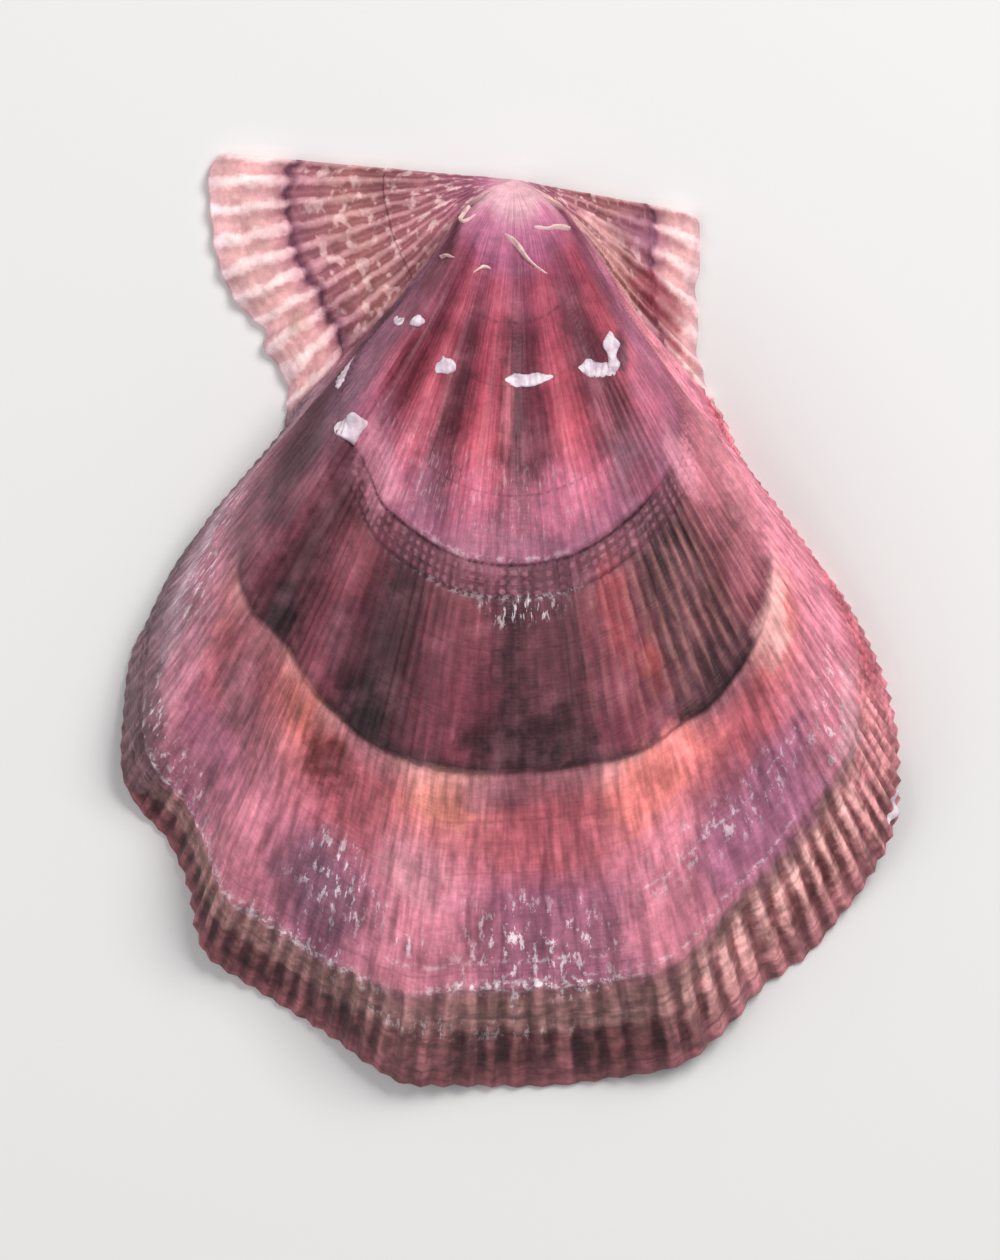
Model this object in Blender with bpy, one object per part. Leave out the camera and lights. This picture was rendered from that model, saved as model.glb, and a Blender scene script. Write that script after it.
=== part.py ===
"""One valve of a scallop, grown in one piece: a ribbed fan with five broad folds, an umbo and two ears.

Every growth line of the outside is an older rim. In plan it is the final outline scaled towards the
umbo, and it lies in a plane through the hinge, which has turned down as the valve grew. So the outside
is one formula of two numbers: growth, 0 at the umbo and 1 at the rim, and rib, which counts the
riblets from the front end of the hinge round to the back end.

Frame: metres, hinge along X with the larger, front ear at -X, umbo towards +Y, outside up, rim on Z = 0,
and the origin in the middle of the outline.
"""

import math

import bmesh
import bpy
import numpy as np

MM = 0.001

# The outline seen from above, from the front hinge corner round to the back one: bearing in degrees
# from the middle line, positive to the back, and distance from the umbo in millimetres.
OUTLINE = (
    (-88.2, 29.0), (-84.5, 30.1), (-77.0, 30.1), (-69.5, 30.3), (-62.0, 30.2), (-56.0, 29.5),
    (-52.2, 28.7), (-49.5, 29.7), (-46.0, 29.8), (-42.2, 29.9), (-39.6, 31.1), (-37.6, 32.2),
    (-36.0, 33.4), (-35.2, 36.0), (-34.9, 39.5), (-34.8, 44.0), (-34.7, 48.5), (-34.1, 52.0),
    (-32.8, 56.8), (-31.9, 60.4), (-29.4, 65.0), (-27.7, 68.2), (-26.0, 70.8), (-23.6, 72.5),
    (-20.6, 73.9), (-17.9, 77.0), (-16.1, 80.6), (-14.4, 82.8), (-11.5, 83.9), (-8.0, 85.3),
    (-4.5, 87.2), (-2.2, 88.9), (0.4, 90.3), (4.0, 90.0), (9.0, 89.9), (14.0, 89.6), (18.0, 89.2),
    (21.4, 86.6), (24.2, 83.9), (27.6, 82.4), (30.8, 80.1), (33.6, 78.1), (36.2, 76.0),
    (38.2, 73.7), (40.2, 70.2), (42.2, 66.0), (43.8, 61.6), (45.0, 56.0), (45.5, 52.0),
    (45.6, 47.5), (45.7, 43.5), (46.0, 39.0), (46.9, 35.0), (49.0, 31.2), (51.0, 27.9),
    (53.4, 25.5), (56.6, 24.0), (60.0, 23.1), (66.0, 21.1), (72.0, 20.4), (79.0, 19.4),
    (84.0, 18.9), (86.6, 18.2),
)
OUTLINE_SAMPLES = 4001

# Bearings on the rim where the disc meets the ears. Near the umbo the disc spreads wider than they say:
# by this share, which fades with the distance from the umbo over this length, by this power.
FRONT_SUTURE = -38.2
BACK_SUTURE = 49.4
FRONT_SPREAD = (0.62, 7.4 * MM, 2.0)
BACK_SPREAD = (0.60, 8.7 * MM, 1.5)
SUTURE_WIDTH = 1.1
INNER_SUTURE_WIDTH = 4.0
SUTURE_MARGIN = 0.3
SUTURE_GROOVE = 0.30 * MM

# Older rims are rounder than the last one: their corners are smoothed over this many riblets.
ROUNDING = 5.0
ROUND_UNTIL = 0.35
ROUND_SAMPLES = 1024

# Height in millimetres of the old rims along the middle line, and of the wall under them, by growth.
PROFILE_GROWTH = (0.0, 0.03, 0.08, 0.15, 0.25, 0.35, 0.45, 0.55, 0.65, 0.75, 0.85, 0.905, 0.95, 1.0)
PROFILE_HEIGHT = (0.0, 4.3, 8.8, 13.0, 16.8, 18.7, 19.1, 18.3, 16.7, 14.4, 11.2, 8.8, 5.2, 0.0)
WALL_GROWTH = (0.0, 0.1, 0.3, 0.9, 1.0)
WALL_DROP = (0.0, 1.9, 1.9, 1.5, 0.0)
MIDDLE_REACH = 90.4 * MM
EAR_FLATNESS = 0.50

# Thickness of the edge at the umbo, round the ears and round the disc, width of the flat underside of
# the rim, and how much wider that is along the hinge, beyond these bearings.
UMBO_HEIGHT = 2.6 * MM
UMBO_FADE = 0.08
EAR_EDGE = 1.3 * MM
DISC_EDGE = 0.8 * MM
RIM_WIDTH = 1.9 * MM
HINGE_PLATE = 2.4 * MM
HINGE_BEARINGS = (66.0, 84.0)
INNER_POLE_DROP = 3.2 * MM
INNER_RIM_START = 0.90

# Bearings of the troughs and crests of the broad folds, in turn, beginning and ending with a trough.
FOLDS = (-33.5, -27.0, -21.5, -15.4, -9.0, -0.5, 9.0, 18.8, 27.5, 37.2, 44.0)
FOLD_HEIGHT = 2.2 * MM
FOLD_SHARPNESS = 1.2
FOLD_FULL_GROWTH = 0.40
INNER_FOLD_SHARE = 0.8
FLAT_TROUGH = 0.35

# Growth paused three times. Along the rim of the day the pause has one age, but its growth line wanders
# a little across the folds: the growth at which the second and the third pause lie, by bearing.
PAUSES = (0.0, 0.425, 0.655, 0.90, 1.0)
SECOND_PAUSE = (
    (-40, 0.655), (-34, 0.69), (-28, 0.70), (-23, 0.69), (-15, 0.658), (-7, 0.667), (-1, 0.657),
    (8, 0.651), (15, 0.651), (21, 0.663), (27, 0.672), (40, 0.668), (48, 0.655),
)
THIRD_PAUSE = (
    (-40, 0.90), (-34, 0.93), (-24, 0.945), (-19, 0.942), (-13, 0.92), (-6, 0.92), (-2, 0.908),
    (3, 0.89), (20, 0.89), (25, 0.883), (31, 0.868), (36, 0.871), (41, 0.892), (48, 0.90),
)

# The ledges left where growth paused: age, and height in millimetres.
LEDGES = ((0.10, 0.30), (0.425, 0.50), (0.655, 0.75), (0.90, 0.75))
EAR_LEDGES = ((0.425, 0.25), (0.56, 0.25), (0.74, 0.60))
LEDGE_LENGTH = 0.035
LEDGE_RISER = 0.004

# Riblets are spaced along the rim at these pitches in millimetres, by bearing, and wider on the ears.
# Halfway up the valve they join in pairs.
EAR_RIB_PITCH = 3.1 * MM
RIB_PITCHES = (
    (-34, 1.35), (-26, 1.9), (-14, 2.1), (-6, 1.9), (2, 2.3), (10, 2.6), (22, 2.9), (32, 2.2),
    (40, 1.8), (45, 1.35),
)
FLANK_RADIUS = 35 * MM
LOWER_RADIUS = 70 * MM
EAR_RIB_HEIGHT = 0.40 * MM
EAR_RIB_GROWTH = (0.15, 0.60)
DISC_RIB_HEIGHT = 0.45 * MM
DISC_RIB_GROWTH = (0.15, 0.95)
DISC_RIB_LEAST = 0.25
FLANK_RIB_SHARE = 0.6
PAIRED_GROWTH = (0.430, 0.474)

# The pale worn scales: bearing, growth, length along the growth line and height, in millimetres.
WORN_SCALES = (
    (12.0, 0.223, 3.2, 0.55), (-12.6, 0.242, 1.8, 0.50), (-29.0, 0.268, 2.2, 0.50),
    (30.0, 0.257, 2.6, 0.60), (38.0, 0.266, 2.6, 0.60), (-25.5, 0.420, 2.4, 0.45),
)
SCALE_BREADTH = 0.70
PLAIN_UMBO = 0.03

# The ages of the growth lines and the columns that the faces follow: a column for every second riblet near the umbo,
# for every riblet where they are paired, and two for each riblet below that and on the ears.
COLUMN_RIBS = 2.0
GROWTH_LINES = (
    0.0, 0.03, 0.065, 0.10, 0.104, 0.16, 0.23, 0.29, 0.355, 0.425, 0.429,
    0.475, 0.56, 0.655, 0.659, 0.74, 0.82, 0.90, 0.904, 0.95, 1.0,
)
INNER_GROWTH_LINES = (0.0, 0.07, 0.15, 0.25, 0.36, 0.47, 0.58, 0.70, 0.82, 0.92, 1.0)
EAR_COLUMNS_START = 0.155
PAIRED_COLUMNS_START = 0.225
FINE_COLUMNS_START = 0.470
RIM_ONLY = 0.999

GROWTH_STEP = 1e-4
RIB_STEP = 0.02
RIM_STEP = 0.6
WELD = 1e-7
SHARP_ANGLE = 40.0


def curve_through(knots, values, x):
    """A smooth curve through the knots: cubic pieces whose slopes are those of the neighbours' chords."""
    knots = np.asarray(knots, float)
    values = np.asarray(values, float)
    slope = np.gradient(values, knots)
    x = np.clip(x, knots[0], knots[-1])
    i = np.clip(np.searchsorted(knots, x, side="right") - 1, 0, len(knots) - 2)
    width = knots[i + 1] - knots[i]
    t = (x - knots[i]) / width
    return (
        values[i] * (2 * t**3 - 3 * t**2 + 1)
        + values[i + 1] * (3 * t**2 - 2 * t**3)
        + width * slope[i] * (t**3 - 2 * t**2 + t)
        + width * slope[i + 1] * (t**3 - t**2)
    )


def smooth_step(x, low, high):
    """0 below low, 1 above high, and a smooth rise between them."""
    t = np.clip((x - low) / (high - low), 0, 1)
    return t * t * (3 - 2 * t)


def measure_outline():
    """Bearing and reach along the outline at close samples, with the number of riblets passed."""
    table = np.array(OUTLINE)
    samples = np.linspace(0, len(table) - 1, OUTLINE_SAMPLES)
    bearing = curve_through(np.arange(len(table)), table[:, 0], samples)
    reach = curve_through(np.arange(len(table)), table[:, 1], samples) * MM
    x = reach * np.sin(np.radians(bearing))
    y = -reach * np.cos(np.radians(bearing))
    disc_pitch = np.interp(bearing, *zip(*RIB_PITCHES)) * MM
    on_ear = (bearing < FRONT_SUTURE) | (bearing > BACK_SUTURE)
    pitch = np.where(on_ear, EAR_RIB_PITCH, disc_pitch)
    ribs = np.concatenate([[0], np.cumsum(np.hypot(np.diff(x), np.diff(y)) / pitch[1:])])
    count = round(ribs[-1] / COLUMN_RIBS) * COLUMN_RIBS
    return bearing, reach, ribs * count / ribs[-1], count, x, y


BEARINGS, REACHES, RIBS, RIB_COUNT, OUTLINE_X, OUTLINE_Y = measure_outline()
FRONT_RIB = np.interp(FRONT_SUTURE, BEARINGS, RIBS)
BACK_RIB = np.interp(BACK_SUTURE, BEARINGS, RIBS)
MIDDLE_X = (OUTLINE_X.min() + OUTLINE_X.max()) / 2
MIDDLE_Y = OUTLINE_Y.min() / 2


def rounded_reach():
    """Reach averaged over its neighbours with a bell-shaped weight, except at the two hinge corners."""
    ribs = np.linspace(0, RIB_COUNT, ROUND_SAMPLES)
    reach = np.interp(ribs, RIBS, REACHES)
    spacing = ribs[1]
    to_corner = np.minimum(ribs, RIB_COUNT - ribs)[:, None]
    offset = (ribs[:, None] - ribs[None, :]) / np.clip(to_corner, spacing / 10, ROUNDING)
    weight = np.exp(-(offset**2))
    return ribs, (weight * reach).sum(1) / weight.sum(1)


ROUND_RIBS, ROUND_REACHES = rounded_reach()


def blended_reach(growth, rib):
    """Reach of the column's own rim, rounded on the older growth lines."""
    reach = np.interp(rib, ROUND_RIBS, ROUND_REACHES)
    return reach + (np.interp(rib, RIBS, REACHES) - reach) * smooth_step(growth, ROUND_UNTIL, 1.0)


def widening(growth, rib, spread):
    """How much wider the fan opens at a column's own distance from the umbo: share, fade and power."""
    share, fade, power = spread
    return 1 + share * np.exp(-((growth * blended_reach(growth, rib) / fade) ** power))


def fan_bearing(growth, rib):
    """Bearing on an older rim: the disc fans out wider near the umbo, and the ears give way to it."""
    bearing = np.interp(rib, RIBS, BEARINGS)
    widen = widening(growth, rib, FRONT_SPREAD)
    to_back = smooth_step(bearing, FRONT_SUTURE, BACK_SUTURE)
    widen = widen + (widening(growth, rib, BACK_SPREAD) - widen) * to_back
    front = FRONT_SUTURE * widening(growth, FRONT_RIB, FRONT_SPREAD)
    back = BACK_SUTURE * widening(growth, BACK_RIB, BACK_SPREAD)
    on_front = (bearing - FRONT_SUTURE) / (OUTLINE[0][0] - FRONT_SUTURE)
    on_back = (bearing - BACK_SUTURE) / (OUTLINE[-1][0] - BACK_SUTURE)
    wide = np.where(on_front > 0, front + on_front * (OUTLINE[0][0] - front), bearing * widen)
    return np.where(on_back > 0, back + on_back * (OUTLINE[-1][0] - back), wide)


def disc_share(rib, width=SUTURE_WIDTH):
    """1 on the disc, 0 on the ears, with a step this many riblets wide at each suture."""
    rise = smooth_step(rib, FRONT_RIB - SUTURE_MARGIN, FRONT_RIB + width)
    fall = smooth_step(rib, BACK_RIB - width, BACK_RIB + SUTURE_MARGIN)
    return rise - fall


def fold_wave(bearing):
    """0 in the troughs between the broad folds and on the flanks, 1 along their crests."""
    phase = np.interp(bearing, FOLDS, np.arange(len(FOLDS)))
    return ((1 - np.cos(math.pi * phase)) / 2) ** FOLD_SHARPNESS


def growth_at(age, rib):
    """Growth of the points of one age: between two pauses it goes evenly from the one to the other."""
    bearing = np.interp(rib, RIBS, BEARINGS)
    lines = [np.full_like(rib, pause) for pause in PAUSES]
    lines[2] = np.interp(bearing, *zip(*SECOND_PAUSE))
    lines[3] = np.interp(bearing, *zip(*THIRD_PAUSE))
    growth = np.zeros_like(age)
    for i in range(len(PAUSES) - 1):
        share = np.clip((age - PAUSES[i]) / (PAUSES[i + 1] - PAUSES[i]), 0, 1)
        growth += share * (lines[i + 1] - lines[i])
    return growth


def ledge_relief(age, ledges):
    """Each ledge swells slowly towards its lip and drops off just past it."""
    relief = np.zeros_like(age)
    for place, height in ledges:
        swell = np.exp(np.minimum(age - place, 0) / LEDGE_LENGTH)
        relief += height * MM * swell * (1 - smooth_step(age, place, place + LEDGE_RISER))
    return relief


def rib_relief(growth, rib):
    """Rounded riblets, 0 along their crests and sunk between them, joined in pairs towards the umbo."""
    reach = np.interp(rib, RIBS, REACHES)
    disc = disc_share(rib)
    single = (np.cos(2 * math.pi * rib) - 1) / 2
    paired = (np.cos(math.pi * rib) - 1) / 2
    to_single = smooth_step(growth, *PAIRED_GROWTH)
    on_disc = paired + (single - paired) * to_single
    on_disc *= DISC_RIB_LEAST + (1 - DISC_RIB_LEAST) * smooth_step(growth, *DISC_RIB_GROWTH)
    lower = smooth_step(reach, FLANK_RADIUS, LOWER_RADIUS)
    on_disc *= FLANK_RIB_SHARE + (1 - FLANK_RIB_SHARE) * lower
    on_ears = single * smooth_step(growth, *EAR_RIB_GROWTH)
    return DISC_RIB_HEIGHT * on_disc * disc + EAR_RIB_HEIGHT * on_ears * (1 - disc)


def scale_relief(growth, rib):
    """The worn scales: low ridges that run along a growth line."""
    bearing = np.interp(rib, RIBS, BEARINGS)
    reach = np.interp(rib, RIBS, REACHES)
    relief = np.zeros_like(growth)
    for place, scale_growth, length, height in WORN_SCALES:
        along = np.radians(bearing - place) * growth * reach / (length * MM / 2)
        across = (growth - scale_growth) * reach / (SCALE_BREADTH * MM)
        relief += height * MM * np.exp(-(along**2) - across**2)
    return relief


def fine_relief(growth, age, rib):
    """Height of riblets, growth ledges, worn scales and suture grooves above the plain outside."""
    disc = disc_share(rib)
    relief = rib_relief(growth, rib) + scale_relief(growth, rib)
    relief += ledge_relief(age, LEDGES) * disc
    relief += ledge_relief(growth, EAR_LEDGES) * (1 - disc)
    for suture in (FRONT_RIB, BACK_RIB):
        groove = np.exp(-(((rib - suture) / SUTURE_WIDTH * 2) ** 2))
        relief -= SUTURE_GROOVE * groove * smooth_step(growth, *EAR_RIB_GROWTH)
    return relief * smooth_step(growth, 0, PLAIN_UMBO)


def outer_base(growth, rib):
    """The outside without its fine relief: an older rim scaled to the umbo, in its turned plane."""
    bearing = np.interp(rib, RIBS, BEARINGS)
    reach = blended_reach(growth, rib)
    fan = np.radians(fan_bearing(growth, rib))
    disc = disc_share(rib)
    lateral = reach * np.cos(np.radians(bearing)) / MIDDLE_REACH
    lateral *= disc + (1 - disc) * EAR_FLATNESS
    edge = EAR_EDGE + (DISC_EDGE - EAR_EDGE) * disc
    edge += (UMBO_HEIGHT - edge) * np.exp(-growth / UMBO_FADE)
    folds = FOLD_HEIGHT * smooth_step(growth, 0, FOLD_FULL_GROWTH) * fold_wave(bearing)
    height = curve_through(PROFILE_GROWTH, PROFILE_HEIGHT, growth) * MM
    x = growth * reach * np.sin(fan)
    y = -growth * reach * np.cos(fan)
    return np.stack([x, y, edge + height * lateral + folds * disc], -1)


def outer_points(age, rib):
    """The outside with its relief, raised along the plain surface's own normal."""
    growth = growth_at(age, rib)
    base = outer_base(growth, rib)
    down = np.where(growth > 0.5, -GROWTH_STEP, GROWTH_STEP)
    along_growth = (outer_base(growth + down, rib) - base) / down[:, None]
    side = np.where(rib > RIB_COUNT / 2, -RIB_STEP, RIB_STEP)
    along_rib = (outer_base(growth, rib + side) - base) / side[:, None]
    normal = np.cross(along_growth, along_rib)
    length = np.linalg.norm(normal, axis=-1, keepdims=True)
    normal = np.where(length > 0, normal / np.where(length > 0, length, 1), (0.0, 0.0, 1.0))
    normal[:, 2] = np.abs(normal[:, 2])
    return base + normal * fine_relief(growth, age, rib)[:, None]


def rim_lift(rib):
    """How far the underside of the rim stands off the floor: nothing in the troughs, most at crests."""
    bearing = np.interp(rib, RIBS, BEARINGS)
    above = np.clip((fold_wave(bearing) - FLAT_TROUGH) / (1 - FLAT_TROUGH), 0, 1)
    return FOLD_HEIGHT * above * disc_share(rib)


def inner_points(growth, rib):
    """The inside: smooth, with its own pole under the umbo, and inset from the outline by the rim."""
    bearing = np.interp(rib, RIBS, BEARINGS)
    side_x = np.interp(rib + RIM_STEP, RIBS, OUTLINE_X) - np.interp(rib - RIM_STEP, RIBS, OUTLINE_X)
    side_y = np.interp(rib + RIM_STEP, RIBS, OUTLINE_Y) - np.interp(rib - RIM_STEP, RIBS, OUTLINE_Y)
    length = np.hypot(side_x, side_y)
    to_hinge = smooth_step(np.abs(bearing), *HINGE_BEARINGS)
    rim_x = np.interp(rib, RIBS, OUTLINE_X) - RIM_WIDTH * side_y / length
    rim_y = np.interp(rib, RIBS, OUTLINE_Y) + RIM_WIDTH * side_x / length - HINGE_PLATE * to_hinge
    disc = disc_share(rib, INNER_SUTURE_WIDTH)
    lateral = (-INNER_POLE_DROP - rim_y) / (MIDDLE_REACH - RIM_WIDTH - INNER_POLE_DROP)
    lateral *= disc + (1 - disc) * EAR_FLATNESS
    height = curve_through(PROFILE_GROWTH, PROFILE_HEIGHT, growth)
    height -= np.interp(growth, WALL_GROWTH, WALL_DROP)
    folds = INNER_FOLD_SHARE * FOLD_HEIGHT * smooth_step(growth, 0, FOLD_FULL_GROWTH) * fold_wave(bearing)
    to_rim = smooth_step(growth, INNER_RIM_START, 1.0)
    z = np.maximum(height, 0) * MM * lateral * (1 - to_hinge)
    z += folds * disc * (1 - to_rim) + rim_lift(rib) * to_rim
    return np.stack([growth * rim_x, -INNER_POLE_DROP + growth * (rim_y + INNER_POLE_DROP), z], -1)


def flat_sheet(growths, ribs):
    """A flat grid whose X is age or growth and whose Y is rib, made ready to be bent to its place."""
    sheet = bmesh.new()
    bmesh.ops.create_grid(sheet, x_segments=len(growths) - 1, y_segments=len(ribs) - 1, size=0.5)
    for vert in sheet.verts:
        line = round((vert.co.x + 0.5) * (len(growths) - 1))
        column = round((vert.co.y + 0.5) * (len(ribs) - 1))
        vert.co = (growths[line], ribs[column], 0)
    return sheet


def on_ear(rib):
    """True on the ears and on the first column of the disc beside each."""
    return rib <= FRONT_RIB + COLUMN_RIBS or rib >= BACK_RIB - COLUMN_RIBS


def refine(sheet, cuts, wanted):
    """Cuts the edges that run along the growth lines, where both ends are wanted."""
    edges = [
        edge for edge in sheet.edges
        if edge.verts[0].co.x == edge.verts[1].co.x and all(wanted(*vert.co.xy) for vert in edge.verts)
    ]
    bmesh.ops.subdivide_edges(sheet, edges=edges, cuts=cuts, use_grid_fill=True)


def refine_hinge(sheet):
    """Halves the edges that will lie along the hinge, to match the outer sheet's growth lines."""
    edges = [
        edge for edge in sheet.edges
        if edge.is_boundary and edge.verts[0].co.y == edge.verts[1].co.y
    ]
    bmesh.ops.subdivide_edges(sheet, edges=edges, cuts=1)


def outer_sheet(ribs):
    """The flat sheet of the outside, with closer columns where there are riblets to show."""
    sheet = flat_sheet(GROWTH_LINES, ribs)
    refine(sheet, 3, lambda growth, rib: growth > EAR_COLUMNS_START and on_ear(rib))
    refine(sheet, 3, lambda growth, rib: growth > FINE_COLUMNS_START and not on_ear(rib))
    paired = (PAIRED_COLUMNS_START, FINE_COLUMNS_START)
    refine(sheet, 1, lambda growth, rib: paired[0] < growth < paired[1] and not on_ear(rib))
    return sheet


def inner_sheet(ribs):
    """The flat sheet of the inside, whose edge has as many points as the outer sheet's."""
    sheet = flat_sheet(INNER_GROWTH_LINES, ribs)
    refine(sheet, 1, lambda growth, rib: growth > EAR_COLUMNS_START and on_ear(rib))
    refine(sheet, 1, lambda growth, rib: growth > RIM_ONLY and on_ear(rib))
    refine(sheet, 3, lambda growth, rib: growth > RIM_ONLY and not on_ear(rib))
    refine_hinge(sheet)
    return sheet


def bend(sheet, shape):
    """Carries every point of a flat sheet to its place, closes its pole, and gives each point's rib."""
    flat = np.array([vert.co[:] for vert in sheet.verts])
    ribs = dict(zip(sheet.verts, flat[:, 1]))
    for vert, point in zip(sheet.verts, shape(flat[:, 0], flat[:, 1])):
        vert.co = point
    bmesh.ops.remove_doubles(sheet, verts=sheet.verts, dist=WELD)
    return {vert: rib for vert, rib in ribs.items() if vert.is_valid}


def edge_loop(sheet):
    """The points of a bent sheet's open edge, in order, from the pole along the front half of the hinge."""
    loop = [max((vert for vert in sheet.verts if vert.is_boundary), key=lambda vert: vert.co.y)]
    while len(loop) < 2 or loop[-1] is not loop[0]:
        ways = [edge.other_vert(loop[-1]) for edge in loop[-1].link_edges if edge.is_boundary]
        onward = [vert for vert in ways if vert is not loop[-2 % len(loop)]]
        loop.append(min(onward, key=lambda vert: vert.co.x))
    return loop[:-1]


def join_rim(outer, inner):
    """The outer sheet's edge dropped to the underside of the rim and bridged to the inner sheet's edge."""
    ribs = bend(outer, outer_points)
    bend(inner, inner_points)
    top = edge_loop(outer)
    lips = rim_lift(np.array([ribs[vert] for vert in top]))
    under = [outer.verts.new((vert.co.x, vert.co.y, lip)) for vert, lip in zip(top, lips)]
    places = [vert.co.to_tuple(7) for vert in edge_loop(inner)]
    scratch = bpy.data.meshes.new("inner_sheet")
    inner.to_mesh(scratch)
    outer.from_mesh(scratch)
    bpy.data.meshes.remove(scratch)
    open_edge = {vert.co.to_tuple(7): vert for vert in outer.verts if vert.is_boundary}
    inside = [open_edge[place] for place in places]
    for first, second in ((top, under), (under, inside)):
        for i in range(len(first)):
            outer.faces.new((first[i - 1], first[i], second[i], second[i - 1]))
    bmesh.ops.triangulate(outer, faces=outer.faces, quad_method="SHORT_EDGE")
    bmesh.ops.recalc_face_normals(outer, faces=outer.faces)


def build_valve():
    """The valve as one closed mesh, moved so that the middle of its outline is the origin."""
    ribs = np.arange(0, RIB_COUNT + COLUMN_RIBS / 2, COLUMN_RIBS)
    valve = outer_sheet(ribs)
    inner = inner_sheet(ribs)
    join_rim(valve, inner)
    bmesh.ops.translate(valve, verts=valve.verts, vec=(-MIDDLE_X, -MIDDLE_Y, 0))
    mesh = bpy.data.meshes.new("left_valve")
    valve.to_mesh(mesh)
    valve.free()
    inner.free()
    mesh.shade_smooth()
    mesh.set_sharp_from_angle(angle=math.radians(SHARP_ANGLE))
    return mesh


def shell_material():
    """Rose-pink shell with a soft satin shine."""
    material = bpy.data.materials.new("rose_shell")
    material.use_nodes = True
    shader = material.node_tree.nodes["Principled BSDF"]
    shader.inputs["Base Color"].default_value = (0.42, 0.15, 0.17, 1.0)
    shader.inputs["Roughness"].default_value = 0.45
    shader.inputs["Metallic"].default_value = 0.0
    return material


def main():
    for thing in list(bpy.data.objects):
        bpy.data.objects.remove(thing, do_unlink=True)
    collection = bpy.data.collections.new("scallop_valve")
    bpy.context.scene.collection.children.link(collection)
    mesh = build_valve()
    mesh.materials.append(shell_material())
    collection.objects.link(bpy.data.objects.new("left_valve", mesh))


main()
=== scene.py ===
# %% [markdown]
# # One valve of a scallop
# The shell is one grown piece, so the scene dresses one CAD node with one closed mesh that has all the
# riblets, ledges and beads of the real outside, and with a few small pieces for the loose flakes of lime
# that stand on it. The frame comes first: it says where the shell lies and how large it is.

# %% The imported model
import math
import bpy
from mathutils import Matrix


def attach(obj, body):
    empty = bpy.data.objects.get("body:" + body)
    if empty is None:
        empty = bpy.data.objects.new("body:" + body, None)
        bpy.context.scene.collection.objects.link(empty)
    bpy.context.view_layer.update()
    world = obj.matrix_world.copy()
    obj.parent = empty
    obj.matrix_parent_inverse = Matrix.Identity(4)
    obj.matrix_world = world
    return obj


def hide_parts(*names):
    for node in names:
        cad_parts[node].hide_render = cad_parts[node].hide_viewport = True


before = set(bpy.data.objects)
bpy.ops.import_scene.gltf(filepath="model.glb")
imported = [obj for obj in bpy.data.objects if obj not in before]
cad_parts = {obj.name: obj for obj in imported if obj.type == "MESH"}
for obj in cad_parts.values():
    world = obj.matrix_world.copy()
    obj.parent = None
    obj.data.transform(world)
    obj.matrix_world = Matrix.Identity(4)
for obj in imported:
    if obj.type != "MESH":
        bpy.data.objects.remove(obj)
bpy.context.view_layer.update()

from types import SimpleNamespace

import bpy
import numpy as np
from mathutils import Vector

MM = 0.001

# %% [markdown]
# ## The camera
# A shell is photographed from straight above. A long lens far away shows it almost without perspective,
# so the growth lines on the high middle stay where a drawing of the shell would have them. The camera is
# turned a few degrees, which tilts the hinge in the picture.

# %% Camera
SENSOR = 36 * MM
LENS = 800
PICTURE_HEIGHT = 124.9 * MM
PICTURE_MIDDLE = (-2.63 * MM, 0.75 * MM)
PICTURE_TURN = 7.0


def add_object(name, data):
    """A new object of this data, linked to the scene."""
    made = bpy.data.objects.new(name, data)
    bpy.context.scene.collection.objects.link(made)
    return made


camera_data = bpy.data.cameras.new("camera")
camera_data.lens = LENS
camera_data.sensor_width = SENSOR / MM
camera = add_object("camera", camera_data)
camera.location = (*PICTURE_MIDDLE, PICTURE_HEIGHT / SENSOR * LENS * MM)
camera.rotation_euler = (0, 0, math.radians(PICTURE_TURN))
bpy.context.scene.camera = camera
print("camera height in m:", round(camera.location.z, 3))

# %% [markdown]
# ## The outline
# Seen from above, the edge of the shell is given as the hand would plot it from the umbo, the beak in the
# middle of the hinge: a bearing and a reach at each place where the edge changes course. A smooth curve
# goes through them. The riblets are then counted off along that edge.

# %% Outline
OUTLINE = (
    (-88.2, 29.0), (-84.5, 30.1), (-77.0, 30.1), (-69.5, 30.3), (-62.0, 30.2), (-56.0, 29.5),
    (-52.2, 28.7), (-49.5, 29.7), (-46.0, 29.8), (-42.2, 29.9), (-39.6, 31.1), (-37.6, 32.2),
    (-36.0, 33.4), (-35.2, 36.0), (-34.9, 39.5), (-34.8, 44.0), (-34.7, 48.5), (-34.1, 52.0),
    (-32.8, 56.8), (-31.9, 60.4), (-29.4, 65.0), (-27.7, 68.2), (-26.0, 70.8), (-23.6, 72.5),
    (-20.6, 73.9), (-17.9, 77.0), (-16.1, 80.6), (-14.4, 82.8), (-11.5, 83.9), (-8.0, 85.3),
    (-4.5, 87.2), (-2.2, 88.9), (0.4, 90.3), (4.0, 90.0), (9.0, 89.9), (14.0, 89.6), (18.0, 89.2),
    (21.4, 86.6), (24.2, 83.9), (27.6, 82.4), (30.8, 80.1), (33.6, 78.1), (36.2, 76.0), (38.2, 73.7),
    (40.2, 70.2), (42.2, 66.0), (43.8, 61.6), (45.0, 56.0), (45.5, 52.0), (45.6, 47.5), (45.7, 43.5),
    (46.0, 39.0), (46.9, 35.0), (49.0, 31.2), (51.0, 27.9), (53.4, 25.5), (56.6, 24.0), (60.0, 23.1),
    (66.0, 21.1), (72.0, 20.4), (79.0, 19.4), (84.0, 18.9), (86.6, 18.2),
)
OUTLINE_SAMPLES = 4001
FRONT_SUTURE, BACK_SUTURE = -38.2, 49.4
EAR_RIB_PITCH = 3.1 * MM
RIB_PITCHES = (
    (-34, 1.35), (-26, 1.9), (-14, 2.1), (-6, 1.9), (2, 2.3), (10, 2.6), (22, 2.9), (32, 2.2),
    (40, 1.8), (45, 1.35),
)


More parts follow.
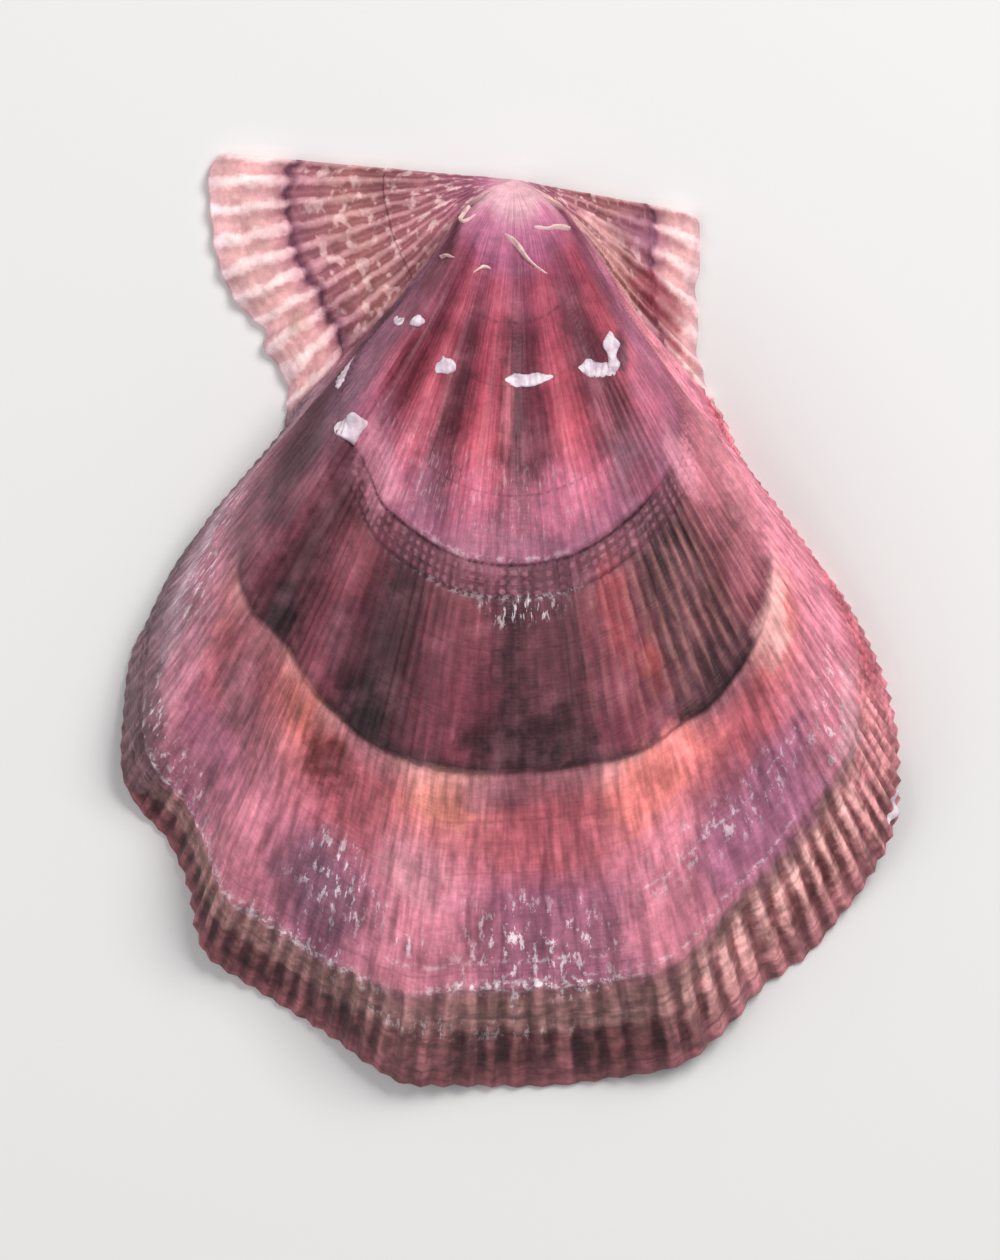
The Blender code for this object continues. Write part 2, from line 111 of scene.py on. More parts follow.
def curve_through(knots, values, x):
    """A smooth curve through the knots: cubic pieces whose slopes are those of the neighbours' chords."""
    knots, values = np.asarray(knots, float), np.asarray(values, float)
    slope = np.gradient(values, knots)
    x = np.clip(x, knots[0], knots[-1])
    i = np.clip(np.searchsorted(knots, x, side="right") - 1, 0, len(knots) - 2)
    width = knots[i + 1] - knots[i]
    t = (x - knots[i]) / width
    return (
        values[i] * (2 * t**3 - 3 * t**2 + 1)
        + values[i + 1] * (3 * t**2 - 2 * t**3)
        + width * slope[i] * (t**3 - 2 * t**2 + t)
        + width * slope[i + 1] * (t**3 - t**2)
    )


def smooth_step(x, low, high):
    """0 below low, 1 above high, and 3t^2 - 2t^3 between, where t is the share of the way."""
    t = np.clip((x - low) / (high - low), 0, 1)
    return t * t * (3 - 2 * t)


def measure_outline():
    """Bearing, reach and the number of riblets passed, at close samples along the edge."""
    table = np.array(OUTLINE)
    samples = np.linspace(0, len(table) - 1, OUTLINE_SAMPLES)
    bearing = curve_through(np.arange(len(table)), table[:, 0], samples)
    reach = curve_through(np.arange(len(table)), table[:, 1], samples) * MM
    x, y = reach * np.sin(np.radians(bearing)), -reach * np.cos(np.radians(bearing))
    pitch = np.interp(bearing, *zip(*RIB_PITCHES)) * MM
    pitch = np.where((bearing < FRONT_SUTURE) | (bearing > BACK_SUTURE), EAR_RIB_PITCH, pitch)
    ribs = np.concatenate([[0], np.cumsum(np.hypot(np.diff(x), np.diff(y)) / pitch[1:])])
    count = round(ribs[-1] / 2) * 2
    return bearing, reach, ribs * count / ribs[-1], count, x, y


BEARINGS, REACHES, RIBS, RIB_COUNT, OUTLINE_X, OUTLINE_Y = measure_outline()
FRONT_RIB, BACK_RIB = np.interp((FRONT_SUTURE, BACK_SUTURE), BEARINGS, RIBS)
UMBO = np.array([-(OUTLINE_X.min() + OUTLINE_X.max()) / 2, -OUTLINE_Y.min() / 2, 0])
print("riblets:", RIB_COUNT, "umbo in mm:", np.round(UMBO / MM, 2))


def bearing_of(rib):
    """Bearing of a riblet where it meets the edge."""
    return np.interp(rib, RIBS, BEARINGS)


def edge_at(rib):
    """The two coordinates of the edge at a riblet."""
    return np.interp(rib, RIBS, OUTLINE_X), np.interp(rib, RIBS, OUTLINE_Y)


# %% [markdown]
# ## The arched outside
# Every growth line of a shell is an older rim. So the whole outside is one formula of two numbers: growth,
# 0 at the umbo and 1 at the rim, and rib, the riblets counted from the front end of the hinge to the back
# end. In plan a growth line is the rim scaled towards the umbo, and its height follows the arch. This is
# the same formula as the solid's, so the mesh lies on it.

# %% Plan of the fan
FRONT_SPREAD, BACK_SPREAD = (0.62, 7.4 * MM, 2.0), (0.60, 8.7 * MM, 1.5)
ROUNDING, LEAST_ROUNDING, ROUND_UNTIL, ROUND_SAMPLES = 5.0, 0.001, 0.35, 1024


def rounded_reach():
    """Reach averaged over its neighbours with a bell-shaped weight, except at the two hinge corners."""
    ribs = np.linspace(0, RIB_COUNT, ROUND_SAMPLES)
    reach = np.interp(ribs, RIBS, REACHES)
    to_corner = np.minimum(ribs, RIB_COUNT - ribs)[:, None]
    offset = (ribs[:, None] - ribs[None, :]) / np.clip(to_corner, LEAST_ROUNDING, ROUNDING)
    weight = np.exp(-(offset**2))
    return ribs, (weight * reach).sum(1) / weight.sum(1)


ROUND_RIBS, ROUND_REACHES = rounded_reach()


def blended_reach(growth, rib):
    """Reach of the column's own rim, rounded on the older growth lines."""
    reach = np.interp(rib, ROUND_RIBS, ROUND_REACHES)
    return reach + (np.interp(rib, RIBS, REACHES) - reach) * smooth_step(growth, ROUND_UNTIL, 1.0)


def widening(growth, rib, spread):
    """How much wider the fan opens at a column's own distance from the umbo: share, fade and power."""
    share, fade, power = spread
    return 1 + share * np.exp(-((growth * blended_reach(growth, rib) / fade) ** power))


def fan_bearing(growth, rib):
    """Bearing on an older rim: the disc fans out wider near the umbo, and the ears give way to it."""
    bearing = bearing_of(rib)
    widen = widening(growth, rib, FRONT_SPREAD)
    to_back = smooth_step(bearing, FRONT_SUTURE, BACK_SUTURE)
    widen = widen + (widening(growth, rib, BACK_SPREAD) - widen) * to_back
    front = FRONT_SUTURE * widening(growth, FRONT_RIB, FRONT_SPREAD)
    back = BACK_SUTURE * widening(growth, BACK_RIB, BACK_SPREAD)
    on_front = (bearing - FRONT_SUTURE) / (OUTLINE[0][0] - FRONT_SUTURE)
    on_back = (bearing - BACK_SUTURE) / (OUTLINE[-1][0] - BACK_SUTURE)
    wide = np.where(on_front > 0, front + on_front * (OUTLINE[0][0] - front), bearing * widen)
    return np.where(on_back > 0, back + on_back * (OUTLINE[-1][0] - back), wide)


opening = fan_bearing(np.full(2, ROUND_UNTIL), np.array([FRONT_RIB, BACK_RIB]))
print("the young disc opens between bearings", *np.round(opening, 1))

# %% [markdown]
# Seen from the side the fan arches up from the rim, highest a little before its middle. Five broad folds
# and the grooves between them run over it, and the ears lie flatter. The arch is a curve through a few
# given heights, because those are easier to give for the real shell's side than a formula.

# %% Arch and folds
SUTURE_WIDTH, SUTURE_MARGIN = 1.1, 0.3
PROFILE_GROWTH = (0.0, 0.03, 0.08, 0.15, 0.25, 0.35, 0.45, 0.55, 0.65, 0.75, 0.85, 0.905, 0.95, 1.0)
PROFILE_HEIGHT = (0.0, 4.3, 8.8, 13.0, 16.8, 18.7, 19.1, 18.3, 16.7, 14.4, 11.2, 8.8, 5.2, 0.0)
MIDDLE_REACH = 90.4 * MM
EAR_FLATNESS = 0.50
UMBO_HEIGHT, UMBO_FADE = 2.6 * MM, 0.08
EAR_EDGE, DISC_EDGE = 1.3 * MM, 0.8 * MM
FOLDS = (-33.5, -27.0, -21.5, -15.4, -9.0, -0.5, 9.0, 18.8, 27.5, 37.2, 44.0)
FOLD_HEIGHT, FOLD_SHARPNESS, FOLD_FULL_GROWTH = 2.2 * MM, 1.2, 0.40


def disc_share(rib, width=SUTURE_WIDTH):
    """1 on the disc and 0 on the ears, with a step this many riblets wide at each suture."""
    rise = smooth_step(rib, FRONT_RIB - SUTURE_MARGIN, FRONT_RIB + width)
    return rise - smooth_step(rib, BACK_RIB - width, BACK_RIB + SUTURE_MARGIN)


def fold_wave(bearing):
    """A raised cosine: 0 in the troughs between the broad folds and on the flanks, 1 on the crests."""
    phase = np.interp(bearing, FOLDS, np.arange(len(FOLDS)))
    return ((1 - np.cos(math.pi * phase)) / 2) ** FOLD_SHARPNESS


def outer_base(growth, rib):
    """The outside without fine relief: the rim scaled by growth, raised by the arch and the folds."""
    bearing = bearing_of(rib)
    reach = blended_reach(growth, rib)
    fan = np.radians(fan_bearing(growth, rib))
    disc = disc_share(rib)
    lateral = reach * np.cos(np.radians(bearing)) / MIDDLE_REACH * (disc + (1 - disc) * EAR_FLATNESS)
    edge = EAR_EDGE + (DISC_EDGE - EAR_EDGE) * disc
    edge += (UMBO_HEIGHT - edge) * np.exp(-growth / UMBO_FADE)
    folds = FOLD_HEIGHT * smooth_step(growth, 0, FOLD_FULL_GROWTH) * fold_wave(bearing)
    height = curve_through(PROFILE_GROWTH, PROFILE_HEIGHT, growth) * MM
    x, y = growth * reach * np.sin(fan), -growth * reach * np.cos(fan)
    return np.stack([x, y, edge + height * lateral + folds * disc], -1)


def along_middle(shape):
    """A shape's values down the middle riblet, from umbo to rim."""
    growth = np.linspace(0, 1, ROUND_SAMPLES)
    return shape(growth, np.full_like(growth, RIB_COUNT / 2))


print("arch in mm:", np.round(along_middle(outer_base)[:, 2].max() / MM, 2))

# %% [markdown]
# ## Relief of the outside
# On this base lie riblets from umbo to rim, ledges where growth paused, rows of beads on the ledges and
# fine growth striae. Each is a small height, worked out from growth and rib, that raises the surface
# along its own normal. Shapes that catch the light are made here as real geometry. Only what is finer
# than the mesh is left to the material's bump.
#
# The shell stopped growing for a while at a few ages, and each pause is a line that wanders a little along
# the rim. So relief and colour are set by age: growth, stretched between the pauses so that each of them
# has one age all along its line.

# %% Pauses in growth
# Ages of the pauses, and how the two outer ones wander: bearing and growth.
PAUSES = (0.0, 0.425, 0.655, 0.90, 1.0)
BAND_END = (
    (-90, 0.655), (-40, 0.655), (-34, 0.69), (-28, 0.70), (-23, 0.69), (-15, 0.658), (-7, 0.667),
    (-1, 0.657), (8, 0.651), (15, 0.651), (21, 0.663), (27, 0.672), (40, 0.668), (48, 0.655),
    (90, 0.655),
)
SKIRT_START = (
    (-90, 0.90), (-40, 0.90), (-34, 0.93), (-24, 0.945), (-19, 0.942), (-13, 0.92), (-6, 0.92),
    (-2, 0.908), (3, 0.89), (20, 0.89), (25, 0.883), (31, 0.868), (36, 0.871), (41, 0.892), (48, 0.90),
    (90, 0.90),
)
# The flanks lie outside these two soft edges of bearing.
MIDDLE_START, MIDDLE_END = (-26.0, -16.0), (30.0, 38.0)


def pause_lines(rib):
    """Growth at each pause in every column: the two outer ones wander with the bearing."""
    bearing = bearing_of(rib)
    band_end, skirt_start = (np.interp(bearing, *zip(*line)) for line in (BAND_END, SKIRT_START))
    start, first, end = (np.full_like(rib, PAUSES[i]) for i in (0, 1, -1))
    return [start, first, band_end, skirt_start, end]


def age_of(growth, rib):
    """Growth, stretched between the pauses so that each pause has one age all along the rim."""
    lines = pause_lines(rib)
    shares = [np.clip((growth - a) / (b - a), 0, 1) for a, b in zip(lines[:-1], lines[1:])]
    return sum(share * step for share, step in zip(shares, np.diff(PAUSES)))


def growth_at(age, rib):
    """The other way round: the growth of a point whose age is known."""
    lines = pause_lines(rib)
    shares = [np.clip((age - a) / (b - a), 0, 1) for a, b in zip(PAUSES[:-1], PAUSES[1:])]
    return sum(share * (b - a) for share, a, b in zip(shares, lines[:-1], lines[1:]))


def in_middle(rib):
    """1 on the middle of the disc and 0 on both flanks."""
    bearing = bearing_of(rib)
    return smooth_step(bearing, *MIDDLE_START) * (1 - smooth_step(bearing, *MIDDLE_END))


starts = [growth for _, growth in SKIRT_START]
print("the skirt starts at growth", min(starts), "to", max(starts))

# %% [markdown]
# At a pause the old rim stands a little proud, as a ledge, and a fine crack may follow it. None is even, so
# each height is multiplied by random heights that change along the rim.

# %% Ledges and cracks
# Ledges: age and height in millimetres. The old ones fade on the flanks.
OLD_LEDGES, LEDGES = ((0.10, 0.15), (0.425, 0.20), (0.655, 0.22)), ((0.90, 0.30),)
EAR_LEDGES = ((0.425, 0.20), (0.56, 0.20), (0.74, 0.55))
LEDGE_LENGTH, LEDGE_RISER, LEDGE_UNEVEN, LEDGE_PATCH = 0.035, 0.005, 0.5, 5
# Cracks: age, half width and depth.
CRACKS = ((0.427, 0.0022, 0.22), (0.463, 0.0020, 0.16))
CRACK_UNEVEN, CRACK_PATCH = 0.5, 3
# Rows of the random table, one for each ledge and crack.
LEDGE_ROW, CRACK_ROW = 90, 50
LEDGE_SEED, CRACK_SEED, RANDOM_SIZE = 11, 17, 256


def random_heights(x, y, seed):
    """Random heights from -1 to 1 at the whole numbers of x and y, joined by smooth steps."""
    table = np.random.default_rng(seed).uniform(-1, 1, (RANDOM_SIZE, RANDOM_SIZE))
    i, j = np.floor(x).astype(int), np.floor(y).astype(int)
    u, v = x - i, y - j
    u, v = u * u * (3 - 2 * u), v * v * (3 - 2 * v)
    i, j, i_next, j_next = (k % RANDOM_SIZE for k in (i, j, i + 1, j + 1))
    near = table[i, j] + (table[i_next, j] - table[i, j]) * u
    far = table[i, j_next] + (table[i_next, j_next] - table[i, j_next]) * u
    return near + (far - near) * v


def ledge_relief(age, rib, ledges):
    """Each ledge swells slowly towards its lip and drops off just past it, more here and less there."""
    relief = np.zeros_like(age)
    for place, height in ledges:
        row = np.full_like(age, place * LEDGE_ROW)
        uneven = 1 + LEDGE_UNEVEN * random_heights(rib / LEDGE_PATCH, row, LEDGE_SEED)
        swell = np.exp(np.minimum(age - place, 0) / LEDGE_LENGTH)
        relief += height * MM * uneven * swell * (1 - smooth_step(age, place, place + LEDGE_RISER))
    return relief


def crack_relief(age, rib):
    """Fine grooves with a bell-shaped section along a growth line, deeper here and there."""
    relief = np.zeros_like(age)
    for place, half_width, depth in CRACKS:
        row = np.full_like(age, place * CRACK_ROW)
        uneven = 1 + CRACK_UNEVEN * random_heights(rib / CRACK_PATCH, row, CRACK_SEED)
        relief -= depth * MM * uneven * np.exp(-(((age - place) / half_width) ** 2))
    return relief


print("ledges:", len(OLD_LEDGES + LEDGES), "on the disc,", len(EAR_LEDGES), "on the ears")

# %% [markdown]
# The riblets are waves of the rim that stayed as it grew on, so a cosine across them gives their section.
# Beads are the same with a second cosine along growth. Striae are smaller steps of growth, low and dense.

# %% Riblets, beads and striae
EAR_RIB_HEIGHT, EAR_RIB_GROWTH = 0.55 * MM, (0.15, 0.60)
# Heights in millimetres by growth, and the share of them by bearing.
RIB_HEIGHT_GROWTH = (0.0, 0.12, 0.42, 0.47, 0.64, 0.68, 0.88, 0.93, 1.0)
RIB_HEIGHTS = (0.02, 0.08, 0.12, 0.26, 0.28, 0.15, 0.16, 0.32, 0.34)
RIB_SIDES = ((-30, 0.45), (-5, 0.55), (10, 0.85), (22, 1.25), (34, 1.5))
RIB_EVENS_OUT, RIB_UNEVEN, RIB_RUN, RIB_SEED = (0.86, 0.92), 0.5, 14, 3
# Bands of beads: first and last age, rows and height. Striae: how many to the whole growth, and height.
BEAD_BANDS, BEAD_FADE = ((0.431, 0.461, 3, 0.24), (0.902, 0.948, 5, 0.18)), 0.1
STRIAE, STRIAE_PATCH = ((55, 0.05), (130, 0.03)), 9


def rib_relief(growth, rib):
    """Rounded riblets, 0 along their crests and sunk between them by a cosine, each a little unlike."""
    disc = disc_share(rib)
    groove = (np.cos(2 * math.pi * rib) - 1) / 2
    height = np.interp(growth, RIB_HEIGHT_GROWTH, RIB_HEIGHTS) * MM
    side = np.interp(bearing_of(rib), *zip(*RIB_SIDES))
    height *= side + (np.maximum(side, 1) - side) * smooth_step(growth, *RIB_EVENS_OUT) * in_middle(rib)
    uneven = 1 + RIB_UNEVEN * random_heights(rib, growth * RIB_RUN, RIB_SEED)
    on_ears = EAR_RIB_HEIGHT * groove * smooth_step(growth, *EAR_RIB_GROWTH)
    return groove * height * uneven * disc + on_ears * (1 - disc)


def bead_relief(age, rib):
    """Rows of beads: a cosine along growth, on the crests of the riblets, inside each band."""
    crest = (1 + np.cos(2 * math.pi * rib)) / 2
    relief = np.zeros_like(age)
    for start, end, rows, height in BEAD_BANDS:
        phase = (age - start) / (end - start)
        inside = smooth_step(phase, 0, BEAD_FADE) * (1 - smooth_step(phase, 1 - BEAD_FADE, 1))
        row = (1 - np.cos(2 * math.pi * rows * phase)) / 2
        relief += height * MM * inside * crest * (row - 0.5)
    return relief


def striae_relief(growth, rib):
    """Low uneven steps along the growth lines, at two spacings."""
    relief = np.zeros_like(growth)
    for spacing, height in STRIAE:
        relief += height * MM * random_heights(growth * spacing, rib / STRIAE_PATCH, spacing)
    return relief


print("rows of beads:", sum(rows for _, _, rows, _ in BEAD_BANDS))

# %% [markdown]
# All of it is added up and raises the plain surface along its normal. Moving points along the normal,
# rather than up, keeps the riblets of the steep sides as high as those of the middle.

# %% The outside with its relief
SUTURE_GROOVE, GROOVE_WIDTH = 0.30 * MM, 0.55
PLAIN_UMBO = 0.03
GROWTH_STEP, RIB_STEP = 1e-4, 0.02


def fine_relief(growth, rib):
    """The sum of riblets, ledges, cracks, beads, striae and the grooves along the sutures."""
    disc = disc_share(rib)
    age = age_of(growth, rib)
    relief = rib_relief(growth, rib) + striae_relief(growth, rib)
    old = (ledge_relief(age, rib, OLD_LEDGES) + crack_relief(age, rib)) * in_middle(rib)
    relief += (old + ledge_relief(age, rib, LEDGES) + bead_relief(age, rib)) * disc
    relief += ledge_relief(growth, rib, EAR_LEDGES) * (1 - disc)
    for suture in (FRONT_RIB, BACK_RIB):
        groove = np.exp(-(((rib - suture) / GROOVE_WIDTH) ** 2))
        relief -= SUTURE_GROOVE * groove * smooth_step(growth, *EAR_RIB_GROWTH)
    return relief * smooth_step(growth, 0, PLAIN_UMBO)


def outer_frame(growth, rib):
    """The plain outside and its unit normal: the cross product of two short steps towards the middle."""
    base = outer_base(growth, rib)
    down = np.where(growth > 0.5, -GROWTH_STEP, GROWTH_STEP)
    along_growth = (outer_base(growth + down, rib) - base) / down[:, None]
    side = np.where(rib > RIB_COUNT / 2, -RIB_STEP, RIB_STEP)
    along_rib = (outer_base(growth, rib + side) - base) / side[:, None]
    normal = np.cross(along_growth, along_rib)
    length = np.linalg.norm(normal, axis=-1, keepdims=True)
    normal = np.where(length > 0, normal / np.where(length > 0, length, 1), (0.0, 0.0, 1.0))
    normal[:, 2] = np.abs(normal[:, 2])
    return base, normal


def outer_points(age, rib):
    """The outside with its relief, raised along the plain surface's own normal."""
    growth = growth_at(age, rib)
    base, normal = outer_frame(growth, rib)
    return base + normal * fine_relief(growth, rib)[:, None]


relief = along_middle(fine_relief) / MM
print("relief down the middle in mm:", np.round(relief.min(), 2), "to", np.round(relief.max(), 2))

# %% [markdown]
# ## The inside
# The photograph shows only the outside. Inside, such a shell is smooth porcelain, fluted under the broad
# folds, with a flat plate along the hinge. The formula is again of growth and rib, with its own pole
# under the umbo, and its edge is set in from the outline by the width of the rim.

# %% The inside
RIM_WIDTH, HINGE_PLATE, HINGE_BEARINGS = 1.9 * MM, 2.4 * MM, (66.0, 84.0)
RIM_STEP = 0.6
INNER_POLE_DROP, INNER_RIM_START, INNER_SUTURE_WIDTH = 3.2 * MM, 0.90, 4.0
WALL_GROWTH, WALL_DROP = (0.0, 0.1, 0.3, 0.9, 1.0), (0.0, 1.9, 1.9, 1.5, 0.0)
INNER_FOLD_SHARE, FLAT_TROUGH = 0.8, 0.35


def rim_lift(rib):
    """How far the underside of the rim stands off the floor: nothing in the troughs, most at crests."""
    above = (fold_wave(bearing_of(rib)) - FLAT_TROUGH) / (1 - FLAT_TROUGH)
    return FOLD_HEIGHT * np.clip(above, 0, 1) * disc_share(rib)


def inner_points(growth, rib):
    """The rim's inner edge scaled by growth towards the inner pole, under the arch less the wall."""
    bearing = bearing_of(rib)
    to_hinge = smooth_step(np.abs(bearing), *HINGE_BEARINGS)
    edge_x, edge_y = edge_at(rib)
    side_x, side_y = np.subtract(edge_at(rib + RIM_STEP), edge_at(rib - RIM_STEP))
    length = np.hypot(side_x, side_y)
    rim_x = edge_x - RIM_WIDTH * side_y / length
    rim_y = edge_y + RIM_WIDTH * side_x / length - HINGE_PLATE * to_hinge
    disc = disc_share(rib, INNER_SUTURE_WIDTH)
    lateral = (-INNER_POLE_DROP - rim_y) / (MIDDLE_REACH - RIM_WIDTH - INNER_POLE_DROP)
    lateral *= disc + (1 - disc) * EAR_FLATNESS
    height = curve_through(PROFILE_GROWTH, PROFILE_HEIGHT, growth)
    height -= np.interp(growth, WALL_GROWTH, WALL_DROP)
    folds = INNER_FOLD_SHARE * FOLD_HEIGHT * smooth_step(growth, 0, FOLD_FULL_GROWTH) * fold_wave(bearing)
    to_rim = smooth_step(growth, INNER_RIM_START, 1.0)
    z = np.maximum(height, 0) * MM * lateral * (1 - to_hinge)
    z += folds * disc * (1 - to_rim) + rim_lift(rib) * to_rim
    return np.stack([growth * rim_x, -INNER_POLE_DROP + growth * (rim_y + INNER_POLE_DROP), z], -1)


print("hollow in mm:", np.round(along_middle(inner_points)[:, 2].max() / MM, 2))

# %% [markdown]
# ## Faces
# A plain grid would crowd its points near the umbo, where all columns meet. So each row of the fan has
# its own number of points, and two neighbouring rows are zipped together: going along both at once, each
# step forward on either row gives one triangle. That is a sort of two lists, so numpy does it whole.

# %% Rows of points and the faces between them
def rib_columns(disc_steps, ear_steps):
    """Places along a row: so many steps to each riblet of the disc and of the two ears."""
    front, back = round(FRONT_RIB), round(BACK_RIB)
    runs = ((0, front, ear_steps), (front, back, disc_steps), (back, RIB_COUNT, ear_steps))
    parts = [np.linspace(a, b, round((b - a) * steps) + 1)[:-1] for a, b, steps in runs]
    return np.concatenate([*parts, [RIB_COUNT]])


print("places on the rim at one step to a riblet:", len(rib_columns(1, 1)))

def zip_rows(first, first_places, second, second_places):
    """One triangle for each step forward along either of two rows, in the order of their places."""
    ahead = np.searchsorted(second_places[1:], first_places[1:], side="left")
    behind = np.searchsorted(first_places[1:], second_places[1:], side="right")
    forward = np.stack([first[:-1], second[ahead], first[1:]], -1)
    backward = np.stack([first[behind], second[:-1], second[1:]], -1)
    return np.concatenate([forward, backward])


def fan_sheet(rows, shape, start):
    """Points of all rows of a fan, its faces, each row's indices, and growth and rib of each point."""
    growth = np.concatenate([[0.0], *[np.full(len(ribs), g) for g, ribs in rows]])
    rib = np.concatenate([[RIB_COUNT / 2], *[ribs for _, ribs in rows]])
    ends = np.cumsum([1, *[len(ribs) for _, ribs in rows]]) + start
    indices = [np.arange(a, b) for a, b in zip(ends[:-1], ends[1:])]
    faces = [zip_rows(np.array([start, start]), np.array([0.0, RIB_COUNT]), indices[0], rows[0][1])[1:]]
    for i in range(len(rows) - 1):
        faces.append(zip_rows(indices[i], rows[i][1], indices[i + 1], rows[i + 1][1]))
    return shape(growth, rib), np.concatenate(faces), indices, growth, rib


def open_edge(rows, indices, start):
    """The edge of a fan, from its pole along one end of the hinge, the rim and back: indices, places."""
    growths = np.array([g for g, _ in rows])
    front = np.array([row[0] for row in indices[:-1]])
    back = np.array([row[-1] for row in indices[:-1]])
    loop = np.concatenate([[start], front, indices[-1], back[::-1], [start]])
    places = np.concatenate([[0], growths[:-1], 1 + rows[-1][1] / RIB_COUNT, 3 - growths[:-1][::-1], [3]])
    return loop, places


# %% [markdown]
# The rows lie close together where a ledge or a row of beads crosses the fan, and wider apart where the
# arch is plain. A density says how close, and its running sum, read backwards, gives the rows.

# %% Rows of the two fans
ROW_FOCUS = ((0.10, 0.004, 3), (0.427, 0.004, 7), (0.463, 0.004, 5), (0.657, 0.006, 4))
ROW_BANDS = ((0.430, 0.462, 2.0), (0.86, 0.965, 2.6), (0.965, 1.0, 1.0))
# First and last growth, rows, and steps to a riblet of the disc and of the ears.
OUTER_BANDS = (
    (0.004, 0.03, 5, 0.25, 0.5), (0.035, 0.12, 15, 1, 1), (0.125, 0.28, 27, 2, 4), (0.285, 1.0, 112, 4, 8),
)
INNER_BANDS = ((0.02, 0.10, 6, 0.25, 0.5), (0.12, 0.5, 20, 0.5, 1), (0.515, 1.0, 32, 1, 2))
DENSITY_SAMPLES = 4001


def crowded_rows(start, end, count):
    """So many growths from start to end, close together at the ledges and in the beaded bands."""
    growth = np.linspace(start, end, DENSITY_SAMPLES)
    density = np.ones_like(growth)
    for place, width, strength in ROW_FOCUS:
        density += strength * np.exp(-(((growth - place) / width) ** 2))
    for first, last, strength in ROW_BANDS:
        density += strength * ((growth > first) & (growth < last))
    passed = np.concatenate([[0], np.cumsum(density[1:] + density[:-1])])
    return np.interp(np.linspace(0, passed[-1], count), passed, growth)


def fan_rows(bands, spread):
    """Growth and places of each row, with more columns further from the umbo."""
    return [
        (growth, rib_columns(disc, ear))
        for start, end, count, disc, ear in bands for growth in spread(start, end, count)
    ]


OUTER_ROWS, INNER_ROWS = fan_rows(OUTER_BANDS, crowded_rows), fan_rows(INNER_BANDS, np.linspace)
print("rows outside:", len(OUTER_ROWS), "rows inside:", len(INNER_ROWS))

# %% [markdown]
# ## One closed mesh
# The rim joins the two fans: from the outside's edge it rounds over, drops to the underside, runs flat to
# the inside's edge and is zipped to it there. Every point keeps its growth, rib, bearing and side as
# attributes, which the materials read, so that every pattern follows the shell's own growth.

# %% The valve
LIP = ((0.05, 0.85), (0.08, 0.55), (0.06, 0.25), (0.0, 0.05), (-0.12, 0.0))
OUTER_SIDE, INNER_SIDE = 0.0, 2.0


def lip_rings(top, under_z, outward):
    """Rings below the outside's edge: a step outward in millimetres, and a share of the edge's height."""
    rings = []
    for step, share in LIP:
        ring = top.copy()
        ring[:, :2] += outward * step * MM
        ring[:, 2] = under_z + (top[:, 2] - under_z) * share
        rings.append(ring)
    return rings


def build_valve():
    """Points, faces and attributes of the closed valve: outside, rings of the lip, and inside."""
    points, faces, indices, age, rib = fan_sheet(OUTER_ROWS, outer_points, 0)
    growth = growth_at(age, rib)
    loop, places = open_edge(OUTER_ROWS, indices, 0)
    edge = points[loop]
    outward = edge[:, :2] - np.array([0, -INNER_POLE_DROP])
    outward = outward / np.linalg.norm(outward, axis=1, keepdims=True)
    rings = lip_rings(edge, rim_lift(rib[loop]), outward)
    all_points, all_faces = [points], [faces]
    growths, ribs, sides = [growth], [rib], [np.full(len(growth), OUTER_SIDE)]
    above, start = loop, len(points)
    for number, ring in enumerate(rings):
        below = np.append(np.arange(start, start + len(ring) - 1), start)
        all_points.append(ring[:-1])
        growths.append(growth[loop][:-1])
        ribs.append(rib[loop][:-1])
        sides.append(np.full(len(ring) - 1, (number + 1) / len(rings)))
        quads = np.stack([above[:-1], above[1:], below[1:], below[:-1]], -1)
        all_faces.append(np.concatenate([quads[:, [0, 2, 1]], quads[:, [0, 3, 2]]]))
        above, start = below, start + len(ring) - 1
    inside, inner_faces, indices, growth, rib = fan_sheet(INNER_ROWS, inner_points, start)
    inner_loop, inner_places = open_edge(INNER_ROWS, indices, start)
    all_points.append(inside)
    all_faces += [inner_faces[:, ::-1], zip_rows(above, places, inner_loop, inner_places)]
    growths.append(growth)
    ribs.append(rib)
    sides.append(np.full(len(growth), INNER_SIDE))
    return (np.concatenate(x) for x in (all_points, all_faces, growths, ribs, sides))


def new_mesh(name, points, faces, **attributes):
    """A smooth-shaded mesh from arrays, standing in the frame, with its attributes on the points."""
    faces = faces[(faces != np.roll(faces, 1, axis=1)).all(1)]
    mesh = bpy.data.meshes.new(name)
    mesh.from_pydata(points + UMBO, [], faces.tolist())
    for key, values in attributes.items():
        mesh.attributes.new(key, "FLOAT", "POINT").data.foreach_set("value", values)
    mesh.shade_smooth()
    mesh.validate()
    return mesh


points, faces, growth, rib, side = build_valve()
valve_mesh = new_mesh(
    "left_valve_shell", points, faces,
    growth=growth, rib=rib, bearing=bearing_of(rib), side=side,
    age=age_of(growth, rib), disc=disc_share(rib),
)
valve = add_object("left_valve_shell", valve_mesh)
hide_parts("left_valve")
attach(valve, "root")
print("valve: points", len(valve_mesh.vertices), "triangles", len(valve_mesh.polygons))

# %% [markdown]
# ## Colour by growth
# A shell lays down its colour at the rim as it grows. What it did at one time is a band along a growth
# line, and what one part of the rim did all the time is a stripe from the umbo. So the pattern is worked
# out from the two attributes growth and bearing: one row of colours for the crests of the broad folds,
# one darker row for the troughs, and a mask of the bearing that goes from one to the other. The darker
# troughs are partly the shell's own colour and partly painted shade on the slopes that face away from
# the light. A little noise bends both, because no real band is ruled.

# %% Small helpers for node trees
BUMP_DEPTH = 0.2 * MM


def node(tree, kind, inputs=(), **settings):
    """A new node with its settings, its inputs linked where a socket is given and set where a value is."""
    made = tree.nodes.new(kind)
    for key, value in settings.items():
        setattr(made, key, value)
    for key, value in dict(inputs).items():
        if isinstance(value, bpy.types.NodeSocket):
            tree.links.new(value, made.inputs[key])
        else:
            made.inputs[key].default_value = value
    return made


